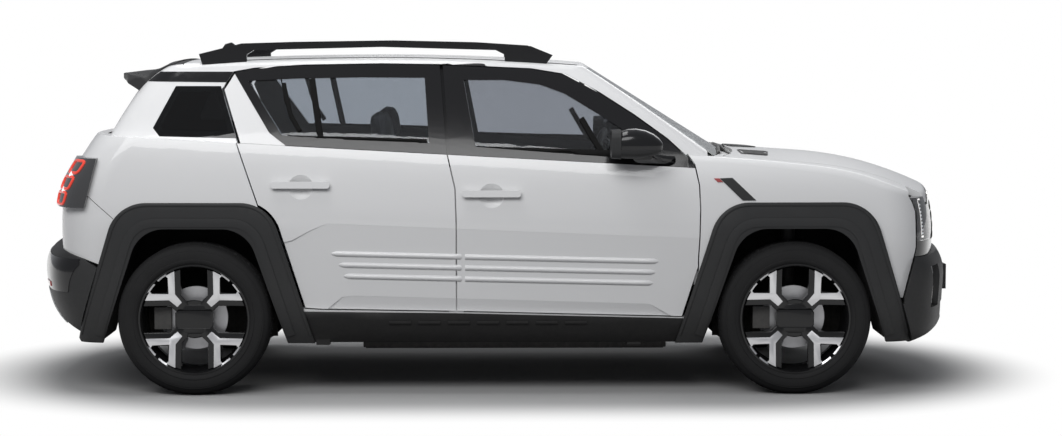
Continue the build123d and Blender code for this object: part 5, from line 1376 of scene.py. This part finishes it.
# %% Cloth finishes
def build_weave():
    """Two crossed sets of threads, in object space: Scale is threads a metre."""
    tree, start, end = group_start("weave", [("Scale", 300.0)], [("Height", "NodeSocketFloat")])
    where = tree.nodes.new("ShaderNodeTexCoord")
    both = tree.nodes.new("ShaderNodeMath")
    both.operation = "MAXIMUM"
    for index, direction in enumerate(("Y", "Z")):
        wave = tree.nodes.new("ShaderNodeTexWave")
        wave.bands_direction = direction
        wave.inputs["Distortion"].default_value = 0.4
        tree.links.new(where.outputs["Object"], wave.inputs["Vector"])
        tree.links.new(start.outputs["Scale"], wave.inputs["Scale"])
        tree.links.new(wave.outputs["Fac"], both.inputs[index])
    tree.links.new(both.outputs[0], end.inputs["Height"])
    return tree


WEAVE = build_weave()


def cloth(name, colour, scale, strength, sheen=0.25):
    """Seat cloth: a finish whose bump is a weave instead of a grain."""
    material = finish(name, colour, 0.85, tone=0.12, tone_scale=6, sheen=sheen, specular=0.3)
    tree = material.node_tree
    threads = use_group(tree, WEAVE, Scale=scale)
    bump = tree.nodes.new("ShaderNodeBump")
    bump.inputs["Strength"].default_value = strength
    bump.inputs["Distance"].default_value = 0.0008
    tree.links.new(threads.outputs["Height"], bump.inputs["Height"])
    tree.links.new(bump.outputs["Normal"], tree.nodes["Principled BSDF"].inputs["Normal"])
    return material


SEAT_CLOTH = cloth("seat_cloth", (0.075, 0.078, 0.084), 160.0, 0.5)
BOLSTER_CLOTH = cloth("seat_bolster", (0.035, 0.036, 0.038), 320.0, 0.25, 0.1)

# %% A pad: rounded block, even mesh, pressure, channels
VOXEL = 0.006
PRESSURE = 4.0
FRAMES = 20
CAP = 0.022
SQUARE = 7.0


def rounded_block(size, cuts=14):
    """A block whose faces run into each other roundly, a little smaller than its final size."""
    bm = bmesh.new()
    bmesh.ops.create_cube(bm, size=2.0)
    bmesh.ops.subdivide_edges(bm, edges=bm.edges, cuts=cuts, use_grid_fill=True)
    half = Vector(size) / 2 - Vector((0.006, 0.004, 0.006))
    for vert in bm.verts:
        reach = sum(abs(c) ** SQUARE for c in vert.co) ** (1 / SQUARE)
        vert.co = Vector(c / reach * h for c, h in zip(vert.co, half))
    return bm


def evaluated(obj):
    """The mesh that an object's modifiers make of it."""
    graph = bpy.context.evaluated_depsgraph_get()
    return bpy.data.meshes.new_from_object(obj.evaluated_get(graph))


def start_pad(name, size, shape=None):
    """The rounded block as an object, evenly remeshed."""
    bm = rounded_block(size)
    if shape:
        for vert in bm.verts:
            vert.co = shape(vert.co)
    mesh = bpy.data.meshes.new(name)
    bm.to_mesh(mesh)
    bm.free()
    pad = bpy.data.objects.new(name, mesh)
    scene.collection.objects.link(pad)
    remesh = pad.modifiers.new("even", "REMESH")
    remesh.mode = "VOXEL"
    remesh.voxel_size = VOXEL
    even = evaluated(pad)
    pad.modifiers.clear()
    pad.data = even
    bpy.data.meshes.remove(mesh)
    return pad


def swell(pads):
    """All pads swell together under pressure, without weight."""
    starts = [[vertex.co.copy() for vertex in pad.data.vertices] for pad in pads]
    for pad in pads:
        settings = pad.modifiers.new("cover", "CLOTH").settings
        settings.quality = 4
        settings.use_pressure = True
        settings.uniform_pressure_force = PRESSURE
        settings.effector_weights.gravity = 0
    for frame_number in range(1, FRAMES + 1):
        scene.frame_set(frame_number)
    for pad, start in zip(pads, starts):
        swollen = evaluated(pad)
        pad.modifiers.clear()
        for vertex, before in zip(swollen.vertices, start):
            move = vertex.co - before
            if move.length > CAP:
                vertex.co = before + move * (CAP / move.length)
        old = pad.data
        pad.data = swollen
        bpy.data.meshes.remove(old)
    scene.frame_set(1)


def channel(distance, wide):
    return math.exp(-(distance / wide) ** 2)


def press_channels(pad, face_axis, face_sign, along, lines, depth=0.006, wide=0.008, only=None):
    """Presses sewn channels into one face, at fixed places along another axis."""
    for vertex in pad.data.vertices:
        if vertex.normal[face_axis] * face_sign < 0.35:
            continue
        if only and not only(vertex.co):
            continue
        push = sum(channel(vertex.co[along] - line, wide) for line in lines)
        vertex.co[face_axis] -= face_sign * depth * push


def seat_pad(name, sources, place, rider, material_test, mirror=False):
    """A finished pad from a swollen one: moved to its place, with its bolsters in their own cloth."""
    bm = bmesh.new()
    bm.from_mesh(sources.data)
    for face in bm.faces:
        face.material_index = 1 if material_test(face.calc_center_median()) else 0
        face.smooth = True
    bmesh.ops.transform(bm, matrix=place, verts=bm.verts)
    if mirror:
        bm2 = flipped(bm)
        bm.free()
        bm = bm2
    piece = add_piece(name, bm, [SEAT_CLOTH, BOLSTER_CLOTH], rider, "seat_fabric", angle=60)
    return piece


# %% Front seats
SEAT_Y = 0.37


def cushion_shape(co):
    """Thicker sides and a rounded front edge on a cushion."""
    side = max(0.0, abs(co.y) - 0.155) / 0.09
    lift = 0.018 * min(1.0, side) if co.z > 0 else 0.0
    drop = 0.020 * max(0.0, co.x - 0.17) / 0.08 if co.z > 0 else 0.0
    return Vector((co.x, co.y, co.z + lift - drop))


def back_shape(co):
    """A backrest narrows at the shoulders and has deeper sides."""
    narrow = 1 - 0.16 * max(0.0, co.z) / 0.3
    side = max(0.0, abs(co.y) - 0.15) / 0.09
    push = 0.022 * min(1.0, side) * (1 if co.z < 0.2 else 0.5) if co.x > 0 else 0.0
    return Vector((co.x + push, co.y * narrow, co.z))


cushion = start_pad("cushion_start", (0.50, 0.50, 0.130), cushion_shape)
backrest = start_pad("backrest_start", (0.115, 0.48, 0.60), back_shape)
bench_pad = start_pad("bench_start", (0.350, 1.235, 0.140))
bench_back_pad = start_pad("bench_back_start", (0.110, 1.170, 0.290))
head_pad = start_pad("head_start", (0.090, 0.250, 0.150))
swell([cushion, backrest, bench_pad, bench_back_pad, head_pad])
press_channels(cushion, 2, 1, 1, (-0.158, 0.158), depth=0.008)
press_channels(cushion, 2, 1, 0, (-0.12, -0.03, 0.06, 0.15), only=lambda co: abs(co.y) < 0.152)
press_channels(backrest, 0, 1, 1, (-0.150, 0.150), depth=0.008)
press_channels(backrest, 0, 1, 2, (-0.20, -0.11, -0.02, 0.07, 0.16), only=lambda co: abs(co.y) < 0.145)
press_channels(bench_pad, 2, 1, 1, (-0.40, -0.21, 0.21, 0.40), depth=0.007)
press_channels(bench_pad, 2, 1, 0, (-0.07, 0.03), only=lambda co: 0.22 < abs(co.y) < 0.39)
press_channels(bench_back_pad, 0, 1, 1, (-0.39, -0.20, 0.20, 0.39), depth=0.007)
press_channels(bench_back_pad, 0, 1, 2, (-0.05, 0.05), only=lambda co: 0.21 < abs(co.y) < 0.38)
CUSHION_AT = Matrix.Translation((-0.10, -SEAT_Y, 0.500))
BACK_AT = Matrix.Translation((-0.400, -SEAT_Y, 0.800)) @ Matrix.Rotation(math.radians(-18), 4, "Y")
HEAD_AT = Matrix.Translation((-0.520, -SEAT_Y, 1.150)) @ Matrix.Rotation(math.radians(-10), 4, "Y")
for side, mirror in (("right", False), ("left", True)):
    first = seat_pad("front_cushion_" + side, cushion, CUSHION_AT, "body", lambda co: abs(co.y) > 0.158,
                     mirror)
    if not mirror:
        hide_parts("front_seats")
    seat_pad("front_backrest_" + side, backrest, BACK_AT, "body",
             lambda co: abs(co.y) > 0.150 or co.x < -0.01, mirror)
    seat_pad("front_head_pad_" + side, head_pad, HEAD_AT, "body", lambda co: co.x < 0, mirror)
BENCH_AT = Matrix.Translation((-0.740, 0, 0.500))
BENCH_BACK_AT = Matrix.Translation((-1.100, 0, 0.900)) @ Matrix.Rotation(math.radians(-14), 4, "Y")
first = seat_pad("bench_cushion", bench_pad, BENCH_AT, "body", lambda co: abs(co.y) > 0.41 or abs(co.y) < 0.2)
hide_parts("rear_bench")
seat_pad("bench_backrest", bench_back_pad, BENCH_BACK_AT, "body",
         lambda co: abs(co.y) > 0.40 or abs(co.y) < 0.19)
for name, y in (("right", -0.36), ("left", 0.36)):
    leaned = Matrix.Translation((-1.165, y, 1.090)) @ Matrix.Rotation(math.radians(-12), 4, "Y")
    seat_pad("bench_head_pad_" + name, head_pad, leaned @ Matrix.Diagonal((0.8, 1, 0.72, 1)), "body",
             lambda co: co.x < 0)
for start in (cushion, backrest, bench_pad, bench_back_pad, head_pad):
    bpy.data.objects.remove(start)
print("pads", 10, "faces in one backrest", len(made[-9].data.polygons))


# %% Seat frames, rails, posts and the lower bench
def seat_frame():
    bm = bmesh.new()
    add_box(bm, (-0.300, -SEAT_Y - 0.195, 0.392), (0.075, -SEAT_Y + 0.195, 0.450), 0.018, 3)
    for y in (-SEAT_Y - 0.175, -SEAT_Y + 0.145):
        add_box(bm, (-0.330, y, 0.2905), (0.100, y + 0.030, 0.318), 0.004, 2)
        add_box(bm, (-0.270, y + 0.004, 0.310), (-0.235, y + 0.026, 0.400), 0.004, 2)
        add_box(bm, (0.010, y + 0.004, 0.310), (0.045, y + 0.026, 0.400), 0.004, 2)
    for y in (-SEAT_Y - 0.247, -SEAT_Y + 0.222):
        add_box(bm, (-0.355, y, 0.430), (-0.130, y + 0.025, 0.520), 0.011, 3)
    for y in (-SEAT_Y - 0.06, -SEAT_Y + 0.06):
        post = Matrix.Translation((-0.505, y, 1.085)) @ Matrix.Rotation(math.radians(-12), 4, "Y")
        bmesh.ops.create_cone(bm, cap_ends=True, segments=12, radius1=0.0065, radius2=0.0065, depth=0.12,
                              matrix=post)
    return faced_out(bm)


add_pair("seat_frame", seat_frame(), [CABIN], "body", "cabin_plastic", angle=35)
bench_base = bmesh.new()
add_box(bench_base, (-0.900, -0.598, 0.402), (-0.652, 0.598, 0.452), 0.012, 3)
lower = Matrix.Translation((-1.040, 0, 0.660)) @ Matrix.Rotation(math.radians(-14), 4, "Y")
shell = bmesh.new()
add_box(shell, (-0.050, -0.465, -0.195), (0.050, 0.465, 0.195), 0.028, 4)
bmesh.ops.transform(shell, matrix=lower, verts=shell.verts)
join(bench_base, shell)
add_box(bench_base, (-1.025, -0.466, 0.432), (-0.885, 0.466, 0.540), 0.02, 3)
add_piece("bench_base", bench_base, [BOLSTER_CLOTH], "body", "seat_fabric", angle=35)
print("seat frames", 3)

# %% [markdown]
# ## Dashboard, hand wheel and door linings
# The dashboard is a plain shelf in the frame. It gets a soft top pad, a driver's display, a wider centre
# screen, and air vents. The hand wheel has a padded rim, three spokes and a hub pad.

# %% Dashboard fittings
SCREEN_BLACK = finish("display_glass", (0.008, 0.009, 0.010), 0.08, coat=0.8, tone=0.03)
bm = bmesh.new()
pad_profile = [(0.870, 0.987), (0.762, 1.0115), (0.642, 1.0015), (0.566, 0.966), (0.548, 0.945),
               (0.548, 0.925), (0.5585, 0.925), (0.5590, 0.9590), (0.6395, 0.9985), (0.760, 1.0090),
               (0.870, 0.984)]
add_prism(bm, [Vector((x, -0.685, z)) for x, z in pad_profile], Vector((0, 1.370, 0)))
faced_out(bm)
add_piece("dashboard_pad", bm, [CABIN], "body", "cabin_plastic", angle=50)
fittings = bmesh.new()
turn = Matrix.Rotation(math.radians(-14), 4, "Y")
for centre, size in (((0.548, 0.37, 1.020), (0.014, 0.27, 0.105)),
                     ((0.535, 0.02, 0.985), (0.016, 0.30, 0.180))):
    part = bmesh.new()
    add_box(part, [-s / 2 for s in size], [s / 2 for s in size], 0.005, 3)
    rear = min(part.faces, key=lambda f: f.calc_center_median().x - f.calc_area())
    bmesh.ops.inset_region(part, faces=[rear], thickness=0.006, depth=0.0)
    bmesh.ops.inset_region(part, faces=[rear], thickness=0.001, depth=-0.001)
    rear.material_index = 1
    bmesh.ops.transform(part, matrix=Matrix.Translation(centre) @ turn, verts=part.verts)
    join(fittings, faced_out(part))
for y in (-0.60, -0.20, 0.20, 0.60):
    for index in range(5):
        add_box(fittings, (0.549, y - 0.055, 0.872 + index * 0.011),
                (0.561, y + 0.055, 0.877 + index * 0.011), 0.001, 1)
add_piece("dashboard_displays", fittings, [CABIN, SCREEN_BLACK], "body", "cabin_plastic", angle=35)

# %% Hand wheel
WHEEL_AT = Matrix.Translation((0.45, 0.37, 0.95)) @ Matrix.Rotation(math.radians(115), 4, "Y")
LEATHER = finish("wheel_leather", (0.022, 0.022, 0.023), 0.55, tone=0.1, grain=0.6, grain_scale=1600)
bm = bmesh.new()
section = [(0.175 + 0.0155 * math.cos(math.tau * i / 14),
            0.0155 * math.sin(math.tau * i / 14)) for i in range(14)]
turned(bm, section, (0, 0, 0), 72)
bmesh.ops.rotate(bm, cent=(0, 0, 0), matrix=Matrix.Rotation(math.radians(90), 3, "X"), verts=bm.verts)
for low, high in (((-0.012, 0.045, -0.010), (0.022, 0.168, 0.006)),
                  ((-0.012, -0.168, -0.010), (0.022, -0.045, 0.006)),
                  ((0.045, -0.014, -0.010), (0.168, 0.014, 0.006))):
    add_box(bm, low, high, 0.005, 2)
add_box(bm, (-0.058, -0.070, -0.024), (0.062, 0.070, 0.014), 0.018, 4)
bmesh.ops.create_cone(bm, cap_ends=True, segments=32, radius1=0.034, radius2=0.028, depth=0.160,
                      matrix=Matrix.Translation((0, 0, 0.090)))
bmesh.ops.transform(bm, matrix=WHEEL_AT, verts=bm.verts)
hand_wheel = add_piece("hand_wheel", faced_out(bm), [LEATHER], "body", "cabin_plastic", angle=35)
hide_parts("steering_wheel")

# %% Door linings: arm rests, pulls and speaker rings
def lining(tree, x_low, x_high, z):
    """An arm rest, a pull and a speaker ring on the door's inner wall."""
    inner = view_on(tree, (0, -0.6, 0), (1, 0, 0), (0, 0, 1), (0, -1, 0))
    bm = strip_on(inner, [(x_low, z), (x_high, z + 0.02)], 0.030, 0.045, -0.001, crown=0.008, step=0.06)
    join(bm, strip_on(inner, [(x_high - 0.16, z + 0.10), (x_high - 0.04, z + 0.105)], 0.014, 0.012, -0.001,
                      crown=0.004, step=0.04))
    ring = [(x_high - 0.10 + 0.075 * math.cos(math.tau * i / 24),
             z - 0.21 + 0.075 * math.sin(math.tau * i / 24)) for i in range(24)]
    join(bm, strip_on(inner, ring, 0.006, 0.006, -0.001, closed=True, crown=0.003, step=0.05))
    return bm


inner_front = lining(surface_of("front_door_right"), 0.02, 0.52, 0.720)
add_pair("front_door_lining", inner_front, [CABIN], "front_door_SIDE", "cabin_plastic", angle=40)
inner_rear = lining(surface_of("rear_door_right"), -0.70, -0.30, 0.740)
add_pair("rear_door_lining", inner_rear, [CABIN], "rear_door_SIDE", "cabin_plastic", angle=40)

# %% Inner mirror and sensor housing
bm = bmesh.new()
add_box(bm, (0.395, -0.055, 1.352), (0.505, 0.055, 1.378), 0.012, 3)
add_box(bm, (0.372, -0.120, 1.262), (0.394, 0.120, 1.330), 0.010, 3)
add_box(bm, (0.388, -0.012, 1.300), (0.412, 0.012, 1.365), 0.004, 2)
add_piece("inner_mirror", faced_out(bm), [CABIN], "body", "cabin_plastic", angle=35)
print("cabin pieces done, pieces so far", len(made))

# %% [markdown]
# ## Under the hood, the floor and the underside
# The drive unit is one heavy block in the frame. What shows of it is a ribbed cast case under a moulded
# cover, with a washer bottle and a small battery beside it. Mats lie on the cabin floor, and the battery
# tray is stiffened by pressed beams with bolt heads along its edges.

# %% Drive unit cover, case ribs, bottle and small battery
def add_stud(bm, place, low_radius, top_radius, height, segments):
    """An upright bolt head, cap or terminal."""
    bmesh.ops.create_cone(bm, cap_ends=True, segments=segments, radius1=low_radius, radius2=top_radius,
                          depth=height, matrix=Matrix.Translation(place))


RIDGES, RIDGE_STEP, RIDGE_HALF = 7, 0.09, 0.020
SIDE_RIBS, SIDE_RIB_STEP, SIDE_RIB_DEEP = 13, 0.042, 0.0075
END_RIBS, END_RIB_STEP = 15, 0.049
RIB_THICK, RIB_LOW, RIB_HIGH = 0.006, 0.40, 0.745
bm = bmesh.new()
add_box(bm, (1.095, -0.345, 0.7605), (1.625, 0.345, 0.778), 0.008, 3)
for index in range(RIDGES):
    y = -0.27 + index * RIDGE_STEP
    add_box(bm, (1.13, y - RIDGE_HALF, 0.776), (1.59, y + RIDGE_HALF, 0.783), 0.003, 2)
for x in (1.13, 1.59):
    for y in (-0.32, 0.32):
        add_stud(bm, (x, y, 0.782), 0.011, 0.011, 0.012, 6)
add_piece("drive_cover", faced_out(bm), [CABIN], "body", "cast_aluminium", angle=35)
bm = bmesh.new()
for index in range(SIDE_RIBS):
    x = 1.11 + index * SIDE_RIB_STEP
    for y in (-0.387, 0.3795):
        add_box(bm, (x, y, RIB_LOW), (x + RIB_THICK, y + SIDE_RIB_DEEP, RIB_HIGH), 0.001, 1)
for index in range(END_RIBS):
    y = -0.35 + index * END_RIB_STEP
    add_box(bm, (1.6395, y, RIB_LOW), (1.647, y + RIB_THICK, RIB_HIGH), 0.001, 1)
add_piece("drive_case_ribs", faced_out(bm), [CAST], "body", "cast_aluminium", angle=35)
bm = bmesh.new()
add_box(bm, (1.66, -0.36, 0.560), (1.80, -0.12, 0.735), 0.022, 4)
add_stud(bm, (1.73, -0.18, 0.747), 0.024, 0.022, 0.03, 24)
add_box(bm, (1.66, 0.08, 0.560), (1.80, 0.34, 0.720), 0.006, 2, material=1)
for y in (0.115, 0.30):
    add_stud(bm, (1.73, y, 0.728), 0.010, 0.009, 0.02, 16)
add_piece("bay_tanks", faced_out(bm), [SKID, CABIN], "body", "cabin_plastic", angle=35)

# %% Mats and load floor
MAT_RIBS, MAT_RIB_STEP, MAT_RIB_WIDE = 6, 0.075, 0.012
LOAD_RIBS, LOAD_RIB_STEP, LOAD_RIB_HALF = 9, 0.10, 0.012
bm = bmesh.new()
for side in (-1, 1):
    for x_low, x_high, z in ((0.10, 0.62, 0.2905), (-0.60, -0.36, 0.2905)):
        y_low, y_high = sorted((side * 0.13, side * 0.62))
        add_box(bm, (x_low, y_low, z), (x_high, y_high, z + 0.007), 0.003, 2)
        for index in range(MAT_RIBS):
            y = y_low + 0.045 + index * MAT_RIB_STEP
            add_box(bm, (x_low + 0.03, y, z + 0.006), (x_high - 0.03, y + MAT_RIB_WIDE, z + 0.010), 0.001, 1)
add_box(bm, (-1.86, -0.465, 0.5205), (-1.175, 0.465, 0.530), 0.004, 2)
for index in range(LOAD_RIBS):
    y = -0.40 + index * LOAD_RIB_STEP
    add_box(bm, (-1.83, y - LOAD_RIB_HALF, 0.529), (-1.20, y + LOAD_RIB_HALF, 0.5325), 0.001, 1)
MAT = finish("carpet", (0.020, 0.020, 0.021), 0.95, tone=0.15, grain=0.9, grain_scale=700, sheen=0.2)
add_piece("floor_mats", faced_out(bm), [MAT], "body", "cabin_plastic", angle=35)

# %% Battery tray beams and bolts
BEAMS, BEAM_STEP, BEAM_WIDE = 7, 0.19, 0.055
TRAY_BOLTS, BOLT_STEP = 12, 0.116
bm = bmesh.new()
for index in range(BEAMS):
    x = -0.50 + index * BEAM_STEP
    add_box(bm, (x, -0.52, 0.164), (x + BEAM_WIDE, 0.52, 0.1725), 0.004, 2)
for y in (-0.545, 0.538):
    add_box(bm, (-0.590, y, 0.166), (0.750, y + 0.008, 0.200), 0.003, 2)
for index in range(TRAY_BOLTS):
    for y in (-0.535, 0.535):
        add_stud(bm, (-0.56 + index * BOLT_STEP, y, 0.170), 0.008, 0.008, 0.007, 6)
add_piece("battery_beams", faced_out(bm), [CHASSIS], "body", "battery_case", angle=35)
print("pieces so far", len(made))

# %% [markdown]
# ## Softer edges on the frame's own pieces
# Moulded and pressed parts never end in a knife edge. The triangles of a few frame pieces are welded together
# and their sharp edges get a small round, which catches a line of light.

# %% Small rounds
EDGE_ROUND = {"roof_rails": 0.004, "roof_antenna": 0.003, "wheel_arch_trims": 0.002,
              "sill_trims": 0.003, "dashboard": 0.006, "battery_pack": 0.004, "drive_motor": 0.006}
for name, width in EDGE_ROUND.items():
    weld = nodes[name].modifiers.new("weld", "WELD")
    weld.merge_threshold = 0.00002
    rounding = nodes[name].modifiers.new("round", "BEVEL")
    rounding.width = width
    rounding.segments = 2
    rounding.limit_method = "ANGLE"
    rounding.angle_limit = math.radians(40)
print("rounded", len(EDGE_ROUND))

# %% [markdown]
# ## Floor and painted shadow
# A mid grey patch round the car is a painted shadow, and the car's real shadow falls on it too. Further out
# the patch fades into the white surroundings. What the lamps bounce off the floor is kept lower than what the
# camera sees, so that the sills stay darker than the roof.

# %% The floor and its painted shadow
FLOOR_SIZE = 120.0
# Painted shadow: the floor is mid grey within the first distance of a line along the car, and white beyond
# the second.
PAINTED_SHADOW_FROM, PAINTED_SHADOW_TO = 1.05, 1.65
PAINTED_SHADOW_SPINE_HALF = 1.0
floor_mesh = bpy.data.meshes.new("floor")
bm = bmesh.new()
bmesh.ops.create_grid(bm, x_segments=1, y_segments=1, size=FLOOR_SIZE / 2)
bm.to_mesh(floor_mesh)
bm.free()
floor = bpy.data.objects.new("floor", floor_mesh)
scene.collection.objects.link(floor)
floor_paint = bpy.data.materials.new("studio_floor")
floor_paint.use_nodes = True
ft = floor_paint.node_tree
floor_shader = ft.nodes["Principled BSDF"]
floor_shader.inputs["Roughness"].default_value = 0.95
floor_shader.inputs["Specular IOR Level"].default_value = 0.1


def floor_node(kind, values=(), **settings):
    """A node of the floor's tree, with its settings and the named or numbered inputs in values."""
    node = ft.nodes.new("ShaderNode" + kind)
    for key, value in settings.items():
        setattr(node, key, value)
    for socket, value in values:
        node.inputs[socket].default_value = value
    return node


place = floor_node("TexCoord")
away = floor_node("VectorMath", operation="ABSOLUTE")
spine = floor_node("VectorMath", [(1, (PAINTED_SHADOW_SPINE_HALF, 0, 0))], operation="SUBTRACT")
past = floor_node("VectorMath", [(1, (0, 0, 0))], operation="MAXIMUM")
far = floor_node("VectorMath", operation="LENGTH")
# The painted shadow's edge: grey near the car, white further out.
fade = floor_node("MapRange", [("From Min", PAINTED_SHADOW_FROM), ("From Max", PAINTED_SHADOW_TO)],
                  interpolation_type="SMOOTHSTEP")
ray = floor_node("LightPath")
seen = floor_node("Math", operation="MAXIMUM")
seen_too = floor_node("Math", operation="MAXIMUM")
white = floor_node("Math", operation="MULTIPLY")
# Near the car the camera sees mid grey, a painted shadow. The lamps see a darker floor.
painted_shadow_tint = floor_node("Mix", [("A", (0.10, 0.10, 0.105, 1)), ("B", (0.40, 0.40, 0.40, 1))], data_type="RGBA")
glow = floor_node("Emission")
mix = floor_node("MixShader")
for source, target in (
        (place.outputs["Object"], away.inputs[0]), (away.outputs["Vector"], spine.inputs[0]),
        (spine.outputs["Vector"], past.inputs[0]), (past.outputs["Vector"], far.inputs[0]),
        (far.outputs["Value"], fade.inputs["Value"]), (ray.outputs["Is Camera Ray"], seen.inputs[0]),
        (ray.outputs["Is Transmission Ray"], seen.inputs[1]), (seen.outputs[0], seen_too.inputs[0]),
        (ray.outputs["Is Glossy Ray"], seen_too.inputs[1]), (seen_too.outputs[0], white.inputs[0]),
        (fade.outputs["Result"], white.inputs[1]), (seen.outputs[0], painted_shadow_tint.inputs["Factor"]),
        (painted_shadow_tint.outputs["Result"], floor_shader.inputs["Base Color"]), (white.outputs[0], mix.inputs[0]),
        (floor_shader.outputs[0], mix.inputs[1]), (glow.outputs[0], mix.inputs[2]),
        (mix.outputs[0], ft.nodes["Material Output"].inputs["Surface"])):
    ft.links.new(source, target)
floor_mesh.materials.append(floor_paint)
print("floor fades to white between", PAINTED_SHADOW_FROM, "and", PAINTED_SHADOW_TO, "metres")
